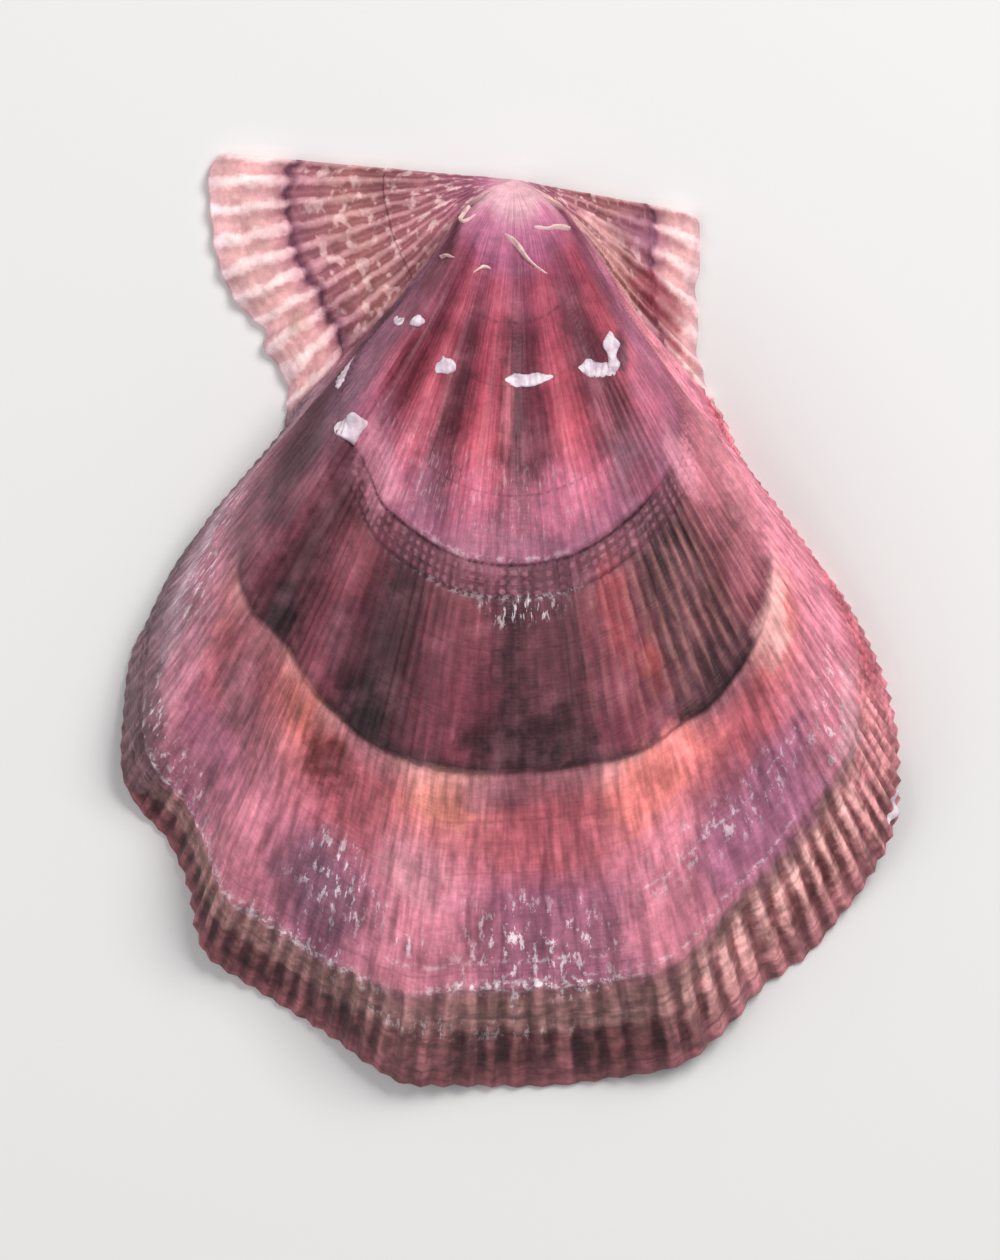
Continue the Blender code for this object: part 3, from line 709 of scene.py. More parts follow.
def calc(tree, operation, first, second=0.0, third=0.0):
    """The result of one Math node."""
    inputs = {0: first, 1: second, 2: third}
    return node(tree, "ShaderNodeMath", inputs, operation=operation).outputs[0]


def between(tree, value, low, high, out_low=0.0, out_high=1.0):
    """Smoothly from out_low at low to out_high at high."""
    inputs = {"Value": value, 1: low, 2: high, 3: out_low, 4: out_high}
    return node(tree, "ShaderNodeMapRange", inputs, interpolation_type="SMOOTHSTEP").outputs[0]


def blend(tree, share, first, second, mode="MIX"):
    """The second colour over the first one."""
    inputs = {0: share, 6: first, 7: second}
    return node(tree, "ShaderNodeMix", inputs, data_type="RGBA", blend_type=mode).outputs[2]


def linear(colour):
    """A colour as an eye or a paint card names it, 0 to 255, turned into the light it gives back."""
    part = np.array(colour) / 255
    part = np.where(part > 0.04045, ((part + 0.055) / 1.055) ** 2.4, part / 12.92)
    return (*part.tolist(), 1.0)


def ramp(tree, value, stops):
    """A Color Ramp of (place, colour) stops on a value from 0 to 1."""
    made = node(tree, "ShaderNodeValToRGB", {0: value})
    stops = sorted(stops)
    elements = made.color_ramp.elements
    while len(elements) < len(stops):
        elements.new(0.5)
    for element, (place, _) in zip(elements, stops):
        element.position = place
    for element, (_, colour) in zip(elements, stops):
        element.color = linear(colour) if np.ndim(colour) else (colour, colour, colour, 1)
    return made.outputs[0]


def noise(tree, vector, scale, detail=2.0, roughness=0.5, distortion=0.0):
    """A Noise Texture's value, about 0.5 on average."""
    inputs = {
        "Vector": vector, "Scale": scale, "Detail": detail, "Roughness": roughness, "Distortion": distortion
    }
    return node(tree, "ShaderNodeTexNoise", inputs).outputs[0]


def attribute(tree, name):
    """One of the mesh's point attributes."""
    return node(tree, "ShaderNodeAttribute", attribute_name=name).outputs["Fac"]


def place_of(tree, x, y, z=0.0):
    """Three values as one vector."""
    return node(tree, "ShaderNodeCombineXYZ", {0: x, 1: y, 2: z}).outputs[0]


def product(tree, first, *others):
    """All values multiplied."""
    for other in others:
        first = calc(tree, "MULTIPLY", first, other)
    return first


def swing(tree, pattern, span):
    """A pattern of 0 to 1, turned into a swing of this span about 0."""
    return calc(tree, "MULTIPLY_ADD", pattern, span, -span / 2)


def wave(tree, count, half_height=0.5):
    """A cosine from 0 to 1 with crests at the whole numbers, or troughs if the half height is negative."""
    cosine = calc(tree, "COSINE", calc(tree, "MULTIPLY", count, 2 * math.pi))
    return calc(tree, "MULTIPLY_ADD", cosine, half_height, 0.5)


def window(tree, value, start, end):
    """1 between two soft edges, each given by where it begins and where it is done."""
    return product(tree, between(tree, value, *start), between(tree, value, *end, 1.0, 0.0))


def new_material(name, roughness):
    """A new material, its node tree and its Principled shader with the roughness set."""
    material = bpy.data.materials.new(name)
    material.use_nodes = True
    shader = material.node_tree.nodes["Principled BSDF"]
    shader.inputs["Roughness"].default_value = roughness
    return material, material.node_tree, shader


def add_bump(tree, shader, height, strength):
    """Height as bump on the shader's normal."""
    inputs = {"Height": height, "Strength": strength, "Distance": BUMP_DEPTH}
    tree.links.new(node(tree, "ShaderNodeBump", inputs).outputs[0], shader.inputs["Normal"])


print("a grey of 128 gives back this share of the light:", round(linear((128,) * 3)[0], 3))

# %% [markdown]
# The colours are listed as one mixes paints: a dozen roses, corals and mauves, two darks, a tan and a
# chalk white. The rows that follow say which of them is laid down when.

# %% Paints
CREAM, PETAL, ORCHID = (236, 180, 190), (198, 120, 150), (172, 92, 124)
CORAL, CORAL_DEEP, BRIGHT_PINK = (196, 88, 104), (164, 66, 84), (208, 106, 132)
MAROON, DARK, DARKEST = (100, 44, 58), (66, 38, 44), (46, 24, 28)
DUSKY, DUSKY_DEEP = (152, 82, 92), (134, 66, 80)
SALMON, PEACH, ROSE = (222, 124, 120), (240, 164, 158), (180, 92, 102)
PINK, LILAC, MAUVE = (214, 130, 146), (166, 100, 124), (142, 88, 106)
TAN, TAN_DEEP, WINDOW, RIM_PINK = (152, 108, 104), (134, 94, 92), (68, 26, 32), (136, 76, 82)
CHALK, PEARL, BLUSH = (236, 222, 226), (232, 190, 188), (206, 138, 152)
BEAD_PINK, RIBLET_TAN = (172, 108, 120), (178, 122, 116)
print("lightest and darkest red as light:", np.round([linear(CREAM)[0], linear(DARKEST)[0]], 2))

# %% [markdown]
# On the disc the colours go by age. There is one row for the crests of the folds and a darker one for the
# troughs, partly their own colour and partly painted shade, and the stripes say how much of each is seen
# at a bearing.

# %% Rows of the disc
CREST_ROW = (
    (0.00, CREAM), (0.035, CREAM), (0.060, PETAL), (0.095, ORCHID), (0.12, (176, 80, 100)),
    (0.20, CORAL_DEEP), (0.30, CORAL), (0.36, BRIGHT_PINK), (0.418, LILAC), (0.429, (120, 68, 80)),
    (0.460, (120, 68, 80)), (0.472, DUSKY), (0.56, DUSKY_DEEP), (0.64, DUSKY_DEEP), (0.654, DARK),
    (0.662, PEACH), (0.70, SALMON), (0.76, PINK), (0.86, PINK), (0.892, PINK), (0.903, (190, 128, 130)),
    (0.916, TAN), (0.940, (164, 118, 115)), (0.952, (128, 78, 78)), (0.975, (116, 64, 68)),
    (0.988, RIM_PINK), (1.0, RIM_PINK),
)
TROUGH_ROW = (
    (0.00, CREAM), (0.035, CREAM), (0.060, PETAL), (0.095, (150, 82, 108)), (0.12, (134, 60, 82)),
    (0.18, MAROON), (0.32, MAROON), (0.37, MAUVE), (0.418, LILAC), (0.429, (96, 54, 66)),
    (0.460, (96, 54, 66)), (0.474, DARK), (0.56, DARK), (0.64, DARK), (0.654, DARKEST),
    (0.664, (150, 92, 102)), (0.70, ROSE), (0.76, ROSE), (0.80, LILAC), (0.86, MAUVE), (0.896, LILAC),
    (0.912, TAN_DEEP), (0.942, TAN_DEEP), (0.951, WINDOW), (0.976, WINDOW), (0.989, (112, 60, 66)),
    (1.0, RIM_PINK),
)
# Bearing, and the share of the crests' colours there; the rest is the troughs' colour and painted shade.
STRIPES_AND_TROUGH_SHADE = (
    (-90, 0.3), (-36, 0.3), (-31, 0.5), (-27, 0.95), (-23.5, 0.15), (-20, 0.15), (-15.5, 1.0),
    (-12, 0.6), (-9, 0.0), (-5.5, 0.1), (-2.5, 0.9), (0.5, 1.0), (3, 0.7), (6, 0.05), (9, 0.0),
    (14, 0.1), (17, 0.8), (20, 1.0), (23, 0.8), (25.5, 0.15), (29, 0.0), (33, 0.1), (36, 0.75),
    (39, 1.0), (44, 0.7), (90, 0.6),
)
BEARING_SPAN = 180.0
print("stops:", len(CREST_ROW), "on crests,", len(TROUGH_ROW), "in troughs,", len(STRIPES_AND_TROUGH_SHADE), "across")

# %% [markdown]
# Past the last fold, and on the ears, there are fewer bands, and these rows go by growth. Only the skirt's
# right side has two rows by age.

# %% Rows of the flanks and ears
# Towards the rim the left flank darkens: partly its own greyish mauve and partly painted shade on the side
# turned away from the light.
LEFT_FLANK_ROW = (
    (0.0, CREAM), (0.05, CREAM), (0.09, PETAL), (0.14, MAROON), (0.30, MAUVE), (0.40, (136, 92, 112)),
    (0.47, (124, 82, 98)), (0.54, (98, 64, 74)), (0.62, (112, 72, 84)), (0.70, (140, 90, 102)),
    (0.80, (176, 124, 138)), (0.88, (166, 126, 138)), (0.93, (128, 96, 106)), (1.0, (118, 88, 98)),
)
SIDE_CREST_ROW = (
    (0.895, LILAC), (0.91, TAN), (0.93, (240, 180, 174)), (0.965, (222, 156, 152)),
    (0.99, (184, 116, 120)),
)
SIDE_TROUGH_ROW = (
    (0.895, LILAC), (0.91, TAN_DEEP), (0.93, (160, 98, 98)), (0.965, (112, 56, 58)),
    (0.99, (150, 90, 94)),
)
RIGHT_FLANK_ROW = (
    (0.0, CREAM), (0.05, CREAM), (0.09, PETAL), (0.14, (140, 70, 92)), (0.25, (150, 84, 104)),
    (0.36, (178, 106, 132)), (0.46, (176, 98, 118)), (0.56, (232, 146, 162)), (0.70, (236, 150, 166)),
    (0.86, (222, 138, 156)), (0.90, (204, 112, 126)), (0.95, (196, 104, 116)), (1.0, (222, 142, 152)),
)
EAR_WINDOW_ROW = (
    (0.0, CREAM), (0.08, PETAL), (0.14, (140, 74, 98)), (0.30, (154, 92, 98)), (0.42, (150, 90, 96)),
    (0.56, (160, 102, 100)), (0.715, (146, 88, 100)), (0.736, (112, 66, 84)), (0.746, (112, 66, 84)),
    (0.765, (190, 130, 138)), (0.82, (226, 168, 168)), (0.94, (234, 178, 176)), (1.0, (214, 168, 172)),
)
EAR_RAY_ROW = (
    (0.0, CREAM), (0.08, PETAL), (0.14, (176, 102, 128)), (0.30, (196, 134, 144)),
    (0.42, (204, 146, 150)), (0.56, (214, 164, 160)), (0.715, (200, 142, 150)), (0.736, (150, 98, 114)),
    (0.746, (156, 104, 120)), (0.768, (236, 184, 190)), (0.84, (252, 216, 212)),
    (0.95, (252, 218, 214)), (1.0, (240, 206, 208)),
)
print("stops on the flanks:", len(LEFT_FLANK_ROW), "and", len(RIGHT_FLANK_ROW))

# %% [markdown]
# A short pause leaves only a thin line, dark or chalky, that ends before the flanks; the dark line at age
# 0.655 is also partly painted shadow under the ledge there. Each has its age, half width, first and last
# bearing, and strength.

# %% Growth lines
DARK_LINES = (
    (0.4265, 0.0045, -20, 30, 0.75), (0.4625, 0.0035, -14, 25, 0.50), (0.445, 0.002, -14, 24, 0.35),
    # The line at age 0.655, like the darkest stops at 0.654 in the rows of the disc: partly the dark band's
    # own edge, partly painted shadow under the ledge.
    (0.655, 0.0045, -14, 37, 0.45), (0.712, 0.003, 1, 18, 0.25), (0.350, 0.0025, -10, 22, 0.35),
    (0.160, 0.004, -8, 37, 0.50), (0.230, 0.002, -24, 34, 0.25), (0.880, 0.002, -26, 16, 0.25),
    (0.932, 0.0020, -14, 22, 0.35), (0.949, 0.0025, -16, 16, 0.40), (0.984, 0.0022, -20, 30, 0.40),
    (0.520, 0.002, -16, 26, 0.30), (0.590, 0.002, -10, 34, 0.30), (0.770, 0.002, -20, 10, 0.20),
)
CHALK_LINES = (
    (0.896, 0.010, 1, 15, 0.90), (0.903, 0.012, -14, -3, 0.75), (0.898, 0.010, -27, -14, 0.70),
    (0.462, 0.006, -6, 16, 0.35), (0.888, 0.006, 17, 30, 0.45), (0.870, 0.005, -3, 14, 0.35),
    (0.805, 0.004, 17, 34, 0.40), (0.420, 0.006, -8, 16, 0.30),
)
print("growth lines:", len(DARK_LINES), "dark,", len(CHALK_LINES), "chalky")

# %% [markdown]
# ## Patches
# Over the bands lie patches: most are colour that came once and not again, a salmon glow, a bleached spot,
# a blotch, and a few are painted light or shade. One node group makes the mask of a soft patch round any
# growth and bearing, with a ragged edge, and the material places it many times.

# %% The soft patch group
PATCH_EDGES = (0.4, 1.25)


def new_group(name, inputs):
    """An empty shader node group with named value inputs and one value output, Mask."""
    tree = bpy.data.node_groups.new(name, "ShaderNodeTree")
    for key in inputs:
        tree.interface.new_socket(key, in_out="INPUT", socket_type="NodeSocketFloat")
    tree.interface.new_socket("Mask", in_out="OUTPUT", socket_type="NodeSocketFloat")
    return tree, tree.nodes.new("NodeGroupInput").outputs, tree.nodes.new("NodeGroupOutput").inputs


def soft_patch_group():
    """1 inside an ellipse of growth and bearing, 0 outside, with noise on the way between."""
    tree, given, result = new_group("soft patch", (
        "Growth", "Bearing", "Ragged", "Place growth", "Place bearing", "Half growth", "Half bearing"))
    off_growth = calc(tree, "SUBTRACT", given["Growth"], given["Place growth"])
    off_bearing = calc(tree, "SUBTRACT", given["Bearing"], given["Place bearing"])
    along = calc(tree, "DIVIDE", off_growth, given["Half growth"])
    across = calc(tree, "DIVIDE", off_bearing, given["Half bearing"])
    vector = place_of(tree, along, across)
    distance = node(tree, "ShaderNodeVectorMath", {0: vector}, operation="LENGTH").outputs["Value"]
    ragged = calc(tree, "ADD", distance, given["Ragged"])
    tree.links.new(between(tree, ragged, *PATCH_EDGES, 1.0, 0.0), result["Mask"])
    return tree


SOFT_PATCH = soft_patch_group()
print("soft patch: nodes", len(SOFT_PATCH.nodes))

# %% [markdown]
# The patches themselves are a list, given one after the other as a painter would add them.

# %% Patches
# Growth, bearing, half the length along growth, half the width in degrees, colour and strength.
PATCHES = (
    (0.50, 20.5, 0.06, 2.6, (180, 76, 84), 0.7), (0.58, 23.0, 0.035, 1.6, (170, 70, 66), 0.6),
    (0.49, 39.0, 0.06, 3.5, (206, 116, 134), 0.7), (0.60, 37.5, 0.04, 3.5, (190, 108, 124), 0.7),
    (0.685, -15.0, 0.03, 3.0, (176, 92, 84), 0.8), (0.72, -10.5, 0.04, 2.6, (92, 38, 38), 0.95),
    (0.695, 0.5, 0.03, 3.5, (204, 130, 112), 0.6), (0.70, 21.0, 0.05, 5.5, (250, 140, 134), 0.9),
    (0.69, 37.5, 0.035, 4.0, (246, 182, 176), 0.8), (0.82, 29.0, 0.07, 7.0, (168, 104, 130), 0.8),
    (0.85, -9.0, 0.05, 4.0, (126, 86, 104), 0.7), (0.56, -30.0, 0.07, 4.0, (88, 56, 64), 0.6),
    (0.645, -20.5, 0.035, 2.6, (42, 24, 28), 0.95), (0.63, -9.4, 0.035, 3.5, (40, 22, 26), 0.9),
    (0.62, 7.0, 0.03, 7.0, (44, 24, 28), 0.85), (0.74, -23.5, 0.05, 4.0, (142, 86, 96), 0.7),
    (0.50, 57.0, 0.10, 3.5, (222, 168, 162), 0.7), (0.54, -10.5, 0.06, 3.0, (84, 48, 58), 0.6),
    (0.405, -18.0, 0.045, 6.0, (220, 142, 162), 0.9), (0.36, 15.0, 0.04, 5.0, (212, 118, 146), 0.7),
    (0.33, -14.0, 0.05, 3.0, (200, 108, 126), 0.6), (0.41, 3.0, 0.03, 7.0, (176, 108, 128), 0.6),
    (0.26, 5.6, 0.06, 1.6, (196, 108, 120), 0.8), (0.25, -7.0, 0.06, 2.0, (84, 40, 50), 0.85),
    (0.59, -13.0, 0.05, 3.0, (84, 50, 58), 0.7), (0.40, 30.0, 0.03, 4.0, (138, 68, 88), 0.8),
    (0.945, -27.5, 0.05, 5.0, (114, 84, 92), 0.8), (0.965, 0.0, 0.03, 3.5, (150, 94, 96), 0.7),
    # The dark patch at growth 0.275, bearing 38.5 is painted shade in a small hollow beside a worn scale.
    (0.275, 38.5, 0.025, 3.0, (72, 34, 48), 0.95), (0.86, -50.0, 0.05, 4.0, (176, 134, 122), 0.6),
    # The two pale patches at the sutures near the umbo: partly pale crust, partly painted light against the
    # shade of the step between disc and ears.
    (0.09, -40.0, 0.08, 5.0, (240, 196, 194), 0.8), (0.10, 51.5, 0.09, 5.0, (240, 196, 184), 0.8),
    (0.44, 38.0, 0.06, 2.6, (236, 154, 172), 0.8), (0.286, 28.3, 0.05, 2.5, (170, 90, 106), 0.6),
    (0.365, 8.3, 0.035, 4.0, (196, 104, 128), 0.5), (0.522, -2.0, 0.06, 3.0, (110, 58, 70), 0.5),
    (0.52, 11.0, 0.07, 4.0, (124, 68, 78), 0.6), (0.56, 30.0, 0.05, 3.0, (90, 46, 52), 0.5),
    (0.685, 8.0, 0.02, 2.5, (120, 72, 80), 0.6), (0.78, -1.0, 0.04, 3.5, (236, 160, 172), 0.7),
    (0.79, -20.5, 0.04, 3.0, (128, 86, 96), 0.7), (0.84, 24.0, 0.04, 3.0, (158, 96, 122), 0.6),
    (0.86, -32.0, 0.04, 3.0, (192, 160, 172), 0.7), (0.30, -41.0, 0.12, 2.4, (150, 98, 102), 0.6),
    # The pale patch at growth 0.38, bearing 54: partly pale crust, partly painted light where the suture
    # lies in shade.
    (0.38, 54.0, 0.18, 4.0, (234, 184, 176), 0.8), (0.45, 66.0, 0.12, 7.0, (250, 190, 190), 0.8),
    (0.78, 57.0, 0.20, 7.0, (168, 80, 90), 0.8), (0.65, 74.0, 0.15, 9.0, (180, 116, 142), 0.6),
    (0.76, -20.0, 0.06, 5.0, (146, 92, 102), 0.5), (0.68, 4.5, 0.02, 3.0, (150, 96, 108), 0.7),
    (0.80, -30.0, 0.07, 4.0, (176, 112, 128), 0.6), (0.92, 40.0, 0.05, 4.0, (220, 136, 144), 0.6),
    (0.87, 39.0, 0.03, 3.0, (226, 176, 182), 0.5), (0.20, -27.0, 0.07, 5.0, (138, 78, 96), 0.6),
    (0.33, 39.0, 0.05, 4.0, (180, 108, 132), 0.6),
)
print("soft patches:", len(PATCHES))

# %% [markdown]
# ## The outside's material
# Everything in the pattern reads the same few fields: where a point lies on the shell, and some noises.
# Noises stretched along the riblets make strokes, and others fill space evenly. Two of them also bend the
# places at which the bands are read.

# %% Fields of the pattern
# Noises in space: scale, detail and roughness. Noises along the riblets: how often to a riblet and to the
# whole growth, detail and roughness.
CLOUDS = {"wide": (90, 3, 0.5), "fine": (420, 4, 0.6), "grain": (1300, 4, 0.65), "tint": (230, 4, 0.6)}
STREAKS = {
    "strokes": (2.0, 15, 2, 0.5), "hairs": (5.0, 40, 3, 0.5), "scaly": (1.4, 120, 2, 0.5),
    "blotches": (0.7, 9, 3, 0.6), "pearls": (1.1, 22, 2, 0.5), "specks": (2.4, 46, 4, 0.7),
    "striae": (0.8, 260, 3, 0.5),
}
WIDE_BEND, FINE_BEND, GROWTH_BEND, BEARING_BEND, RAGGED = 0.024, 0.008, 2.0, 6.0, 1.6
SKIRT_BEND, RIB_SWAY = (0.88, 0.95, 1.0, 0.7), (0.0, 1.0, 0.9, 0.6)
print("noises:", len(CLOUDS), "in space,", len(STREAKS), "along the riblets")


def pattern_fields(tree):
    """Attributes, noises and bent places by name, which all layers of the colour read."""
    at = SimpleNamespace()
    for name in ("growth", "rib", "bearing", "age", "disc"):
        setattr(at, name, attribute(tree, name))
    place = node(tree, "ShaderNodeTexCoord").outputs["Object"]
    for name, values in CLOUDS.items():
        setattr(at, name, noise(tree, place, *values))
    for name, (across, along, *values) in STREAKS.items():
        vector = place_of(tree, product(tree, at.rib, across), product(tree, at.growth, along))
        setattr(at, name, noise(tree, vector, 1.0, *values))
    at.bend = calc(tree, "ADD", swing(tree, at.wide, WIDE_BEND), swing(tree, at.fine, FINE_BEND))
    at.age_bend = product(tree, at.bend, between(tree, at.age, *SKIRT_BEND))
    at.bent_growth = calc(tree, "MULTIPLY_ADD", at.bend, GROWTH_BEND, at.growth)
    at.bent_age = calc(tree, "ADD", at.age, at.age_bend)
    at.bent_bearing = calc(tree, "ADD", at.bearing, swing(tree, at.fine, BEARING_BEND))
    at.ragged = swing(tree, at.fine, RAGGED)
    sway = between(tree, at.disc, *RIB_SWAY)
    at.crest = wave(tree, calc(tree, "MULTIPLY_ADD", swing(tree, at.fine, 1.0), sway, at.rib))
    return at


# %% [markdown]
# ## Bands
# On the disc the stripes of the folds, colour and painted shade in the troughs, mix the two rows of
# colours. On the skirt its riblets do it instead, with a pair of rows of their own on the right side.
# Each flank, past the last fold, has one row.

# %% Colours of the disc
ON_SKIRT, SKIRT_RIGHT, SKIRT_STROKES, SKIRT_CREST = (0.895, 0.91), (15.0, 24.0), 1.8, (0.0, 1.1)
FLANKS = (((-23.0, -31.0), LEFT_FLANK_ROW), ((39.5, 43.5), RIGHT_FLANK_ROW))
print("flanks start between bearings", *(edge for edge, _ in FLANKS))


def fold_bands(tree, at):
    """The two rows of colours, mixed by the stripes of the folds and their painted shade in the troughs,
    and on the skirt by its riblets.
    """
    share = calc(tree, "MULTIPLY_ADD", at.bent_bearing, 1 / BEARING_SPAN, 0.5)
    stripes_and_shade = ramp(tree, share, [(b / BEARING_SPAN + 0.5, value) for b, value in STRIPES_AND_TROUGH_SHADE])
    on_skirt = between(tree, at.bent_age, *ON_SKIRT)
    streaked = calc(tree, "ADD", at.crest, swing(tree, at.strokes, SKIRT_STROKES))
    narrow = between(tree, streaked, *SKIRT_CREST)
    stripes_and_shade = blend(tree, on_skirt, stripes_and_shade, narrow)
    trough, crest, side_trough, side_crest = (
        ramp(tree, at.bent_age, row) for row in (TROUGH_ROW, CREST_ROW, SIDE_TROUGH_ROW, SIDE_CREST_ROW))
    to_right = product(tree, on_skirt, between(tree, at.bent_bearing, *SKIRT_RIGHT))
    right = blend(tree, narrow, side_trough, side_crest)
    return blend(tree, to_right, blend(tree, stripes_and_shade, trough, crest), right)


def disc_colours(tree, at):
    """The bands of the folds, and past them the row of each flank."""
    colour = fold_bands(tree, at)
    for edge, row in FLANKS:
        share = between(tree, at.bent_bearing, *edge)
        colour = blend(tree, share, colour, ramp(tree, at.bent_growth, row))
    return colour


# %% [markdown]
# The ears have pale rays on their riblets and darker windows between. Their growth lines are scalloped,
# further out on a ray than in a window, and the older part is crusted with small pale pearls.

# %% Colours of the ears
RAY_SCALLOP, RAY_EDGES, RAY_STRENGTH = 0.026, (0.35, 0.95), (0.55, 0.78, 0.6, 0.9)
PEARL_EDGES, PEARLS_END = (0.52, 0.66), (0.66, 0.74, 0.75, 0.0)
print("a ray leads its windows by mm:", round(RAY_SCALLOP * REACHES[0] / MM, 2))


def ear_colours(tree, at):
    """The ears' two rows, mixed by the crests of their riblets, with pearls over them."""
    growth = calc(tree, "ADD", at.bent_growth, at.bend)
    growth = calc(tree, "ADD", growth, swing(tree, at.crest, RAY_SCALLOP))
    rays = product(tree, between(tree, at.crest, *RAY_EDGES), between(tree, growth, *RAY_STRENGTH))
    colour = blend(tree, rays, ramp(tree, growth, EAR_WINDOW_ROW), ramp(tree, growth, EAR_RAY_ROW))
    pearls = product(tree, between(tree, at.pearls, *PEARL_EDGES), between(tree, growth, *PEARLS_END))
    return blend(tree, pearls, colour, linear(PEARL))


# %% [markdown]
# ## Layers over the bands
# Each layer takes the colour so far and gives it back with something added: the patches, pale beads
# between the two cracks, tan crests on the riblets at the right, specks of lime, thin growth lines, and a
# faint blush.

# %% Layers in patches
SPECK_EDGES, LIME_STRENGTH = (0.54, 0.62), 0.8
# Where specks of lime show: growth, bearing, half sizes and strength.
LIME_ZONES = (
    (0.835, -7.0, 0.05, 4.0, 0.9), (0.845, 8.5, 0.06, 7.0, 0.9), (0.83, 38.0, 0.05, 4.0, 0.7),
    (0.893, 9.0, 0.012, 8.0, 1.0), (0.915, -8.0, 0.014, 6.0, 1.0), (0.475, 8.0, 0.018, 6.0, 1.0),
    (0.80, 26.0, 0.035, 10.0, 0.6), (0.36, 0.0, 0.06, 28.0, 0.25), (0.82, -32.0, 0.08, 4.0, 0.8),
    (0.91, -24.0, 0.02, 6.0, 0.9), (0.85, -0.5, 0.012, 1.5, 1.0), (0.936, 2.0, 0.014, 12.0, 0.45),
    (0.93, -21.0, 0.016, 7.0, 0.4),
)


def patch_mask(tree, at, growth, place_growth, place_bearing, half_growth, half_bearing):
    """One soft patch, placed by its values."""
    inputs = {
        "Growth": growth, "Bearing": at.bearing, "Ragged": at.ragged, "Place growth": place_growth,
        "Place bearing": place_bearing, "Half growth": half_growth, "Half bearing": half_bearing,
    }
    return node(tree, "ShaderNodeGroup", inputs, node_tree=SOFT_PATCH).outputs[0]


def patched(tree, at, colour):
    """Every soft patch."""
    for *spot, tone, strength in PATCHES:
        mask = product(tree, patch_mask(tree, at, at.bent_growth, *spot), strength)
        colour = blend(tree, mask, colour, linear(tone))
    return colour


def limed(tree, at, colour):
    """Specks of lime inside their zones."""
    dusted = 0.0
    for *spot, strength in LIME_ZONES:
        zone = product(tree, patch_mask(tree, at, at.growth, *spot), strength)
        dusted = calc(tree, "MAXIMUM", dusted, zone)
    specks = product(tree, dusted, between(tree, at.specks, *SPECK_EDGES), LIME_STRENGTH)
    return blend(tree, specks, colour, linear(CHALK))


print("zones of lime:", len(LIME_ZONES))

# %% [markdown]
# The beads and lines follow the growth lines, so they read age where the patches read growth. Each line is
# thin, fades at both ends and is broken where a noise is low.

# %% Layers along the growth lines
BEAD_ROWS, BEAD_EDGES, BEAD_BEARING = 3 / 0.030, (0.1, 0.7), (-24.0, -14.0)
BEAD_AGES, BEAD_STRENGTH = ((0.429, 0.434), (0.458, 0.463)), (0.35, 0.6, 0.1, 0.55)
TAN_AGES, TAN_BEARING, TAN_STRENGTH = ((0.44, 0.50), (0.60, 0.65)), (10.0, 26.0), (0.3, 0.6, 0.1, 0.45)
LINE_BEND, LINE_FADE, LINE_FAINTEST = 0.4, 3, 0.05
DARK_BREAKS, CHALK_BREAKS = (0.38, 0.56), (0.48, 0.60)
BLUSH_STRENGTH = (0.45, 0.75, 0.0, 0.12)
print("rows of painted beads:", round(BEAD_ROWS * (BEAD_AGES[1][1] - BEAD_AGES[0][0]), 1))


def growth_lines(tree, at, table, breaks, edges):
    """A mask of thin growth lines, fading at their ends and broken where the pattern is low."""
    age = calc(tree, "MULTIPLY_ADD", at.age_bend, LINE_BEND, at.age)
    total = 0.0
    for place, half_width, first, last, strength in table:
        off = calc(tree, "ABSOLUTE", calc(tree, "SUBTRACT", age, place))
        start, end = ((middle - LINE_FADE, middle + LINE_FADE) for middle in (first, last))
        mask = between(tree, off, 0.0, half_width, strength, 0.0)
        total = calc(tree, "MAXIMUM", total, product(tree, mask, window(tree, at.bearing, start, end)))
    return product(tree, total, between(tree, breaks, *edges, LINE_FAINTEST, 1.0))


def beaded(tree, at, colour):
    """Beads where a cosine along growth meets a riblet's crest, and tan crests further out."""
    rows = wave(tree, product(tree, at.bent_age, BEAD_ROWS), -0.5)
    beads = product(
        tree, between(tree, product(tree, rows, at.crest), *BEAD_EDGES), window(tree, at.age, *BEAD_AGES),
        between(tree, at.bearing, *BEAD_BEARING), between(tree, at.fine, *BEAD_STRENGTH))
    crests = product(
        tree, window(tree, at.age, *TAN_AGES), between(tree, at.bearing, *TAN_BEARING), at.crest,
        between(tree, at.strokes, *TAN_STRENGTH))
    return blend(tree, crests, blend(tree, beads, colour, linear(BEAD_PINK)), linear(RIBLET_TAN))


def lined(tree, at, colour):
    """Dark growth lines, then chalky ones."""
    dark = growth_lines(tree, at, DARK_LINES, at.strokes, DARK_BREAKS)
    chalky = growth_lines(tree, at, CHALK_LINES, at.grain, CHALK_BREAKS)
    return blend(tree, chalky, blend(tree, dark, colour, linear(DARKEST)), linear(CHALK))


def blushed(tree, at, colour):
    """A faint blush of pink over the disc, here and there."""
    blush = product(tree, between(tree, at.tint, *BLUSH_STRENGTH), at.disc)
    return blend(tree, blush, colour, linear(BLUSH))


# %% [markdown]
# ## Brightness, and the whole material
# Last, the brightness: painted light, a little more on the riblets' crests than the painted shade in the
# grooves beside them, and uneven by six of the noises. Bump is only for striae finer than the mesh. The
# shine is satin.

# %% The rose shell
SATIN, SATIN_SPECULAR, STRIAE_BUMP = 0.45, 0.25, 0.35
# Painted light on the riblets' crests by age, and the painted shade of their grooves.
CREST_PAINTED_LIGHT, GROOVE_PAINTED_SHADE, PATTERN_EDGES = (0.85, 0.95, 0.12, 0.20), 0.92, (0.27, 0.73)
LIGHT_SPANS = {"strokes": 0.34, "hairs": 0.10, "scaly": 0.30, "blotches": 0.12, "tint": 0.20, "grain": 0.12}
STROKES_BY_AGE, STROKES_BY_DISC = (0.60, 0.70, 0.55, 1.0), (0.0, 1.0, 0.35, 1.0)
SCALY_BY_AGE = (0.89, 0.93, 0.25, 1.10)


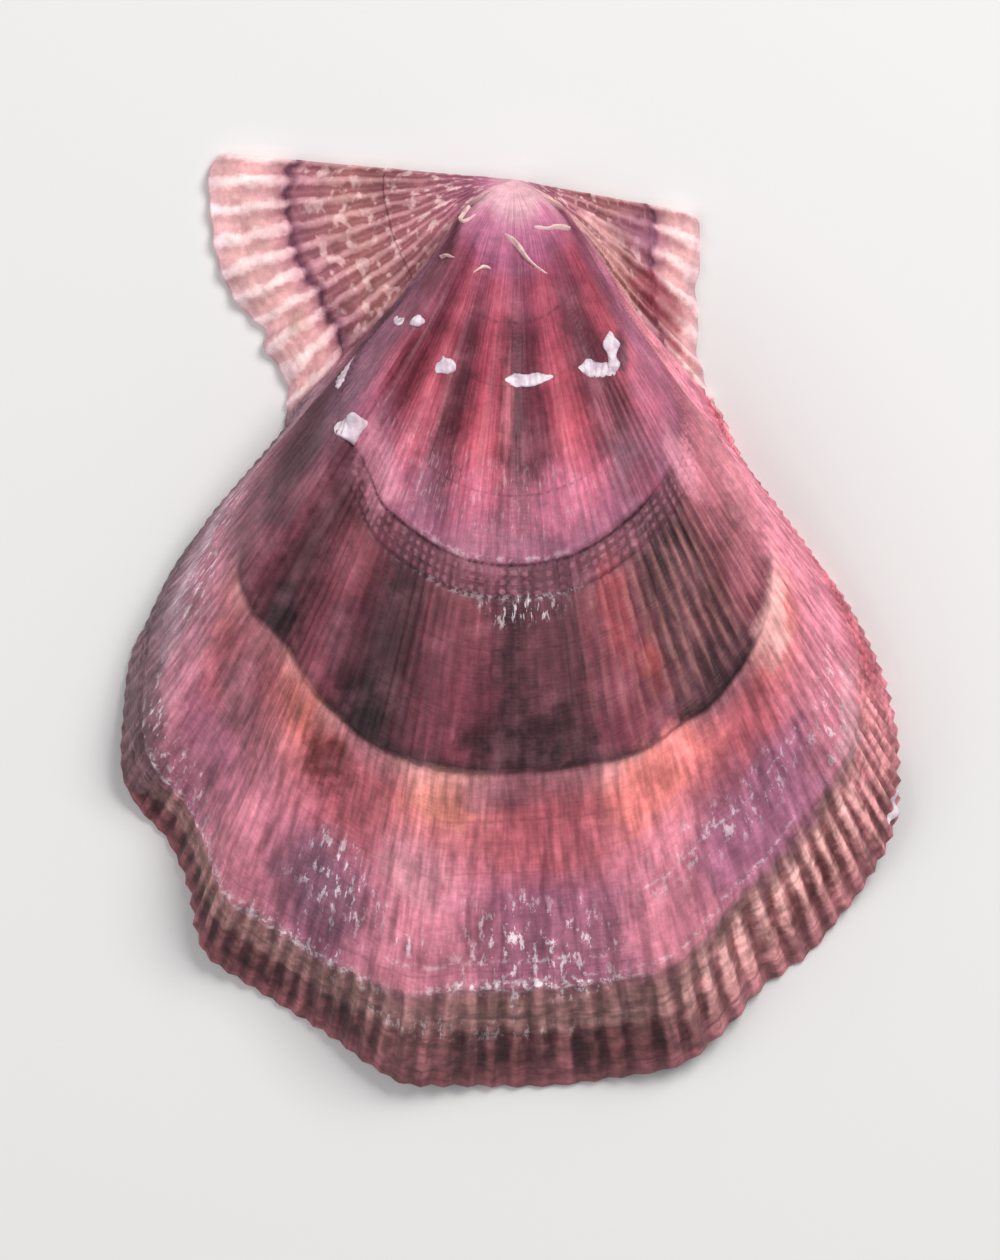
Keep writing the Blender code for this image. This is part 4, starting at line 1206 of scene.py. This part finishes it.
def brightness(tree, at):
    """About 1: each pattern times its span, and the strokes and scales also times where they show."""
    stroked = between(tree, at.age, *STROKES_BY_AGE)
    stroked = product(tree, stroked, between(tree, at.disc, *STROKES_BY_DISC))
    scaly = product(tree, between(tree, at.age, *SCALY_BY_AGE), at.disc)
    shares = {"strokes": stroked, "hairs": stroked, "scaly": scaly}
    # Painted light on the crests, over the painted shade of the grooves.
    light = calc(tree, "MULTIPLY_ADD", at.crest, between(tree, at.age, *CREST_PAINTED_LIGHT), GROOVE_PAINTED_SHADE)
    for name, span in LIGHT_SPANS.items():
        change = between(tree, getattr(at, name), *PATTERN_EDGES, -span, span)
        light = product(tree, light, calc(tree, "MULTIPLY_ADD", change, shares.get(name, 1.0), 1.0))
    return place_of(tree, light, light, light)


def rose_shell():
    """Ears and disc, the layers over them, the brightness, the bump and the satin shine."""
    material, tree, shader = new_material("rose_shell", SATIN)
    at = pattern_fields(tree)
    colour = blend(tree, at.disc, ear_colours(tree, at), disc_colours(tree, at))
    for layer in (patched, beaded, limed, lined, blushed):
        colour = layer(tree, at, colour)
    colour = blend(tree, 1.0, colour, brightness(tree, at), "MULTIPLY")
    tree.links.new(colour, shader.inputs["Base Color"])
    shader.inputs["Specular IOR Level"].default_value = SATIN_SPECULAR
    add_bump(tree, shader, calc(tree, "ADD", at.striae, at.strokes), STRIAE_BUMP)
    print("rose_shell: nodes", len(tree.nodes))
    return material


# %% [markdown]
# The photograph doesn't show the inside. In such a shell it is white, stained pink and purple towards the
# rim and the hinge, with the gloss of porcelain.

# %% Porcelain, and which faces have it
PORCELAIN_ROW = (
    (0.0, (222, 176, 188)), (0.25, (238, 218, 222)), (0.45, (240, 228, 228)), (0.72, (238, 220, 222)),
    (0.84, (216, 168, 182)), (0.93, (176, 104, 128)), (0.985, (190, 124, 138)), (1.0, (206, 150, 158)),
)
PORCELAIN_GLOSS, PORCELAIN_BEND = 0.25, 0.06


def porcelain():
    """One row of colours by growth, bent by a wide noise."""
    material, tree, shader = new_material("porcelain", PORCELAIN_GLOSS)
    place = node(tree, "ShaderNodeTexCoord").outputs["Object"]
    bend = swing(tree, noise(tree, place, *CLOUDS["wide"]), PORCELAIN_BEND)
    colour = ramp(tree, calc(tree, "ADD", attribute(tree, "growth"), bend), PORCELAIN_ROW)
    tree.links.new(colour, shader.inputs["Base Color"])
    return material


def faces_inside(mesh, side):
    """1 for each face whose corners all lie on the inside, 0 for the others."""
    corners = np.empty(len(mesh.polygons) * 3, int)
    mesh.polygons.foreach_get("vertices", corners)
    return (side[corners.reshape(-1, 3)] == INNER_SIDE).all(1).astype(int)


valve_mesh.materials.append(rose_shell())
valve_mesh.materials.append(porcelain())
inner_faces = faces_inside(valve_mesh, side)
valve_mesh.polygons.foreach_set("material_index", inner_faces)
print("faces inside:", inner_faces.sum(), "of", len(inner_faces))

# %% [markdown]
# ## Flakes of lime
# On the young part of the shell stand a few thin leaves of lime and worn white scales. Each is a ridge
# laid along a short path on the outside: a closed lens-shaped section, carried from end to end, that
# swells and thins unevenly and closes to a point at both ends.

# %% Where the flakes lie
# Growth and bearing of the path's points, then half the width and the height in millimetres.
SCALES = (
    (((0.325, -33.2), (0.300, -31.8), (0.282, -30.4)), 0.55, 0.16),
    (((0.262, -28.6), (0.246, -26.8), (0.232, -24.4)), 0.65, 0.18),
    (((0.252, -15.2), (0.240, -12.6), (0.228, -10.0)), 0.85, 0.18),
    (((0.222, 4.6), (0.224, 10.7), (0.228, 18.4)), 0.85, 0.20),
    (((0.236, 25.4), (0.256, 30.3), (0.282, 34.6)), 0.80, 0.22),
    (((0.244, 38.4), (0.262, 35.8), (0.280, 34.0)), 0.70, 0.22),
    (((0.452, -28.6), (0.418, -25.8), (0.388, -23.6)), 1.35, 0.16),
    (((0.500, -34.9), (0.488, -33.9), (0.476, -32.8)), 0.65, 0.16),
    (((0.986, 37.2), (0.992, 38.2), (0.990, 39.2)), 0.50, 0.50),
)
LEAVES = (
    (((0.060, 21.0), (0.076, 31.0), (0.090, 38.0), (0.125, 44.5)), 0.17, 0.60),
    (((0.062, -2.0), (0.073, 6.7), (0.093, 14.4), (0.119, 23.2)), 0.19, 0.70),
    (((0.125, -14.6), (0.111, -10.4), (0.106, -5.6)), 0.15, 0.45),
    (((0.192, -33.4), (0.161, -30.7), (0.138, -26.2)), 0.15, 0.40),
    (((0.190, -36.8), (0.135, -34.8), (0.074, -28.0)), 0.14, 0.40),
)
LEAF_STATIONS, LEAF_SIDES = 40, 12


def path_on_shell(points):
    """A smooth path through points of growth and bearing: its growth and rib at every station."""
    table = np.array(points)
    knots, stations = np.arange(len(table)), np.linspace(0, len(table) - 1, LEAF_STATIONS)
    bearing = curve_through(knots, table[:, 1], stations)
    return curve_through(knots, table[:, 0], stations), np.interp(bearing, BEARINGS, RIBS)


print("flakes:", len(SCALES), "scales,", len(LEAVES), "leaves")

# %% [markdown]
# A leaf's section at one station is a flat lens. Its half width and height swell in the middle of the path
# and are multiplied by random heights, along the path and all over, so that the edge is ragged.

# %% One leaf
LEAF_SINK, LEAF_FLATNESS, LEAF_FULLNESS, LEAF_TAPER = 0.35, 0.6, 2.6, 0.7
# How uneven a leaf is along its path, and how ragged all over: share, how often, and seed.
LEAF_UNEVEN, LEAF_UNEVEN_RUN, LEAF_UNEVEN_SEED = 0.4, 3.5, 5
LEAF_RAGGED, LEAF_RAGGED_RUN, LEAF_RAGGED_TURN, LEAF_RAGGED_SEED, NEXT_LEAF = 0.35, 4, 1.3, 7, 9
print("points of one leaf:", LEAF_STATIONS * LEAF_SIDES + 2)


def leaf(points, half_width, height, number):
    """The lens section carried along a path, uneven by random heights, with a point at each end."""
    growth, rib = path_on_shell(points)
    base, normal = outer_frame(growth, rib)
    base = base + normal * fine_relief(growth, rib)[:, None]
    along = np.gradient(base, axis=0)
    across = np.cross(normal, along)
    across /= np.linalg.norm(across, axis=1, keepdims=True)
    way = np.linspace(0, 1, LEAF_STATIONS)
    swell = np.clip(1 - np.abs(2 * way - 1) ** LEAF_FULLNESS, 0, 1) ** LEAF_TAPER
    uneven = random_heights(way * LEAF_UNEVEN_RUN, np.full_like(way, number), LEAF_UNEVEN_SEED)
    uneven = 1 + LEAF_UNEVEN * uneven
    turn = np.linspace(0, 2 * math.pi, LEAF_SIDES, endpoint=False)
    run = way[:, None] * LEAF_RAGGED_RUN + number * NEXT_LEAF
    ragged = 1 + LEAF_RAGGED * random_heights(run, turn[None, :] * LEAF_RAGGED_TURN, LEAF_RAGGED_SEED)
    wide = (half_width * MM * swell * uneven)[:, None] * np.cos(turn) * ragged
    tall = np.sign(np.sin(turn)) * np.abs(np.sin(turn)) ** LEAF_FLATNESS
    tall = (height * MM * swell * uneven)[:, None] * np.where(tall > 0, tall, tall * LEAF_SINK) * ragged
    points = base[:, None] + across[:, None] * wide[..., None] + normal[:, None] * tall[..., None]
    ring = np.arange(LEAF_SIDES)
    onward = np.roll(ring, -1)
    first = np.arange(LEAF_STATIONS - 1)[:, None] * LEAF_SIDES
    a, b, c, d = first + ring, first + onward, first + LEAF_SIDES + onward, first + LEAF_SIDES + ring
    faces = np.concatenate([np.stack([a, c, b], -1), np.stack([a, d, c], -1)]).reshape(-1, 3)
    tips = LEAF_STATIONS * LEAF_SIDES
    last = (LEAF_STATIONS - 1) * LEAF_SIDES
    start_fan = np.stack([np.full(LEAF_SIDES, tips), ring, onward], -1)
    end_fan = np.stack([np.full(LEAF_SIDES, tips + 1), last + onward, last + ring], -1)
    points = np.concatenate([points.reshape(-1, 3), base[[0, -1]]])
    return points, np.concatenate([faces, start_fan, end_fan])


def leaves(name, table):
    """All leaves of one table as one mesh."""
    points, faces, count = [], [], 0
    for number, (path, half_width, height) in enumerate(table):
        some_points, some_faces = leaf(path, half_width, height, number)
        points.append(some_points)
        faces.append(some_faces + count)
        count += len(some_points)
    return new_mesh(name, np.concatenate(points), np.concatenate(faces))

# %% [markdown]
# The lime is dull and chalky, stained by the shell below it. The two pieces stand on the shell and ride
# with it.

# %% Lime, and the pieces
# Name, table, pale colour and stained colour.
FLAKES = (
    ("worn_scales", SCALES, (234, 220, 226), (190, 168, 182)),
    ("umbo_leaves", LEAVES, (240, 214, 204), (210, 160, 158)),
)
LIME_ROUGHNESS, LIME_BUMP, LIME_CLOUD, LIME_GRAIN, LIME_STAIN = 0.55, 0.2, (900, 4), (2600, 3), (0.35, 0.6)


def lime(name, pale, stained):
    """Chalky white lime with a stain of the shell's pink."""
    material, tree, shader = new_material(name, LIME_ROUGHNESS)
    place = node(tree, "ShaderNodeTexCoord").outputs["Object"]
    colour = ramp(tree, noise(tree, place, *LIME_CLOUD), zip(LIME_STAIN, (stained, pale)))
    tree.links.new(colour, shader.inputs["Base Color"])
    add_bump(tree, shader, noise(tree, place, *LIME_GRAIN), LIME_BUMP)
    return material


for name, table, pale, stained in FLAKES:
    mesh = leaves(name, table)
    mesh.materials.append(lime(name, pale, stained))
    piece = add_object(name, mesh)
    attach(piece, "root")
    print(name, "triangles", len(mesh.polygons))

# %% [markdown]
# ## Floor, light and the end
# The shell lies on a plain pale floor in soft light from the upper right. The Standard view shows a
# colour as it is painted, so a listed colour comes out as listed.

# %% Floor and lights
FLOOR_SIZE, FLOOR_COLOUR, FLOOR_ROUGHNESS = 4.0, (228, 226, 223), 0.9
# Name, place in metres, size and power.
LIGHTS = (("key", (0.25, 0.35, 0.55), 0.35, 3.7), ("fill", (-0.5, -0.1, 0.6), 0.6, 2.0))
SKY_COLOUR, SKY_STRENGTH = (0.9, 0.93, 1.0, 1), 0.36


def add_light(name, place, size, power):
    """A square area light at a place in metres, aimed at the shell."""
    data = bpy.data.lights.new(name, "AREA")
    data.size = size
    data.energy = power
    light = add_object(name, data)
    light.location = place
    light.rotation_euler = (-Vector(place)).to_track_quat("-Z", "Y").to_euler()


half = FLOOR_SIZE / 2
floor_mesh = bpy.data.meshes.new("floor")
floor_corners = [(-half, -half, 0), (half, -half, 0), (half, half, 0), (-half, half, 0)]
floor_mesh.from_pydata(floor_corners, [], [(0, 1, 2, 3)])
floor_material, _, floor_shader = new_material("floor", FLOOR_ROUGHNESS)
floor_shader.inputs["Base Color"].default_value = linear(FLOOR_COLOUR)
floor_mesh.materials.append(floor_material)
floor = add_object("floor", floor_mesh)

for light in LIGHTS:
    add_light(*light)
world = bpy.data.worlds.new("world")
world.use_nodes = True
sky = world.node_tree.nodes["Background"].inputs
sky["Color"].default_value = SKY_COLOUR
sky["Strength"].default_value = SKY_STRENGTH
bpy.context.scene.world = world
bpy.context.scene.view_settings.view_transform = "Standard"
print("lights:", len(LIGHTS))
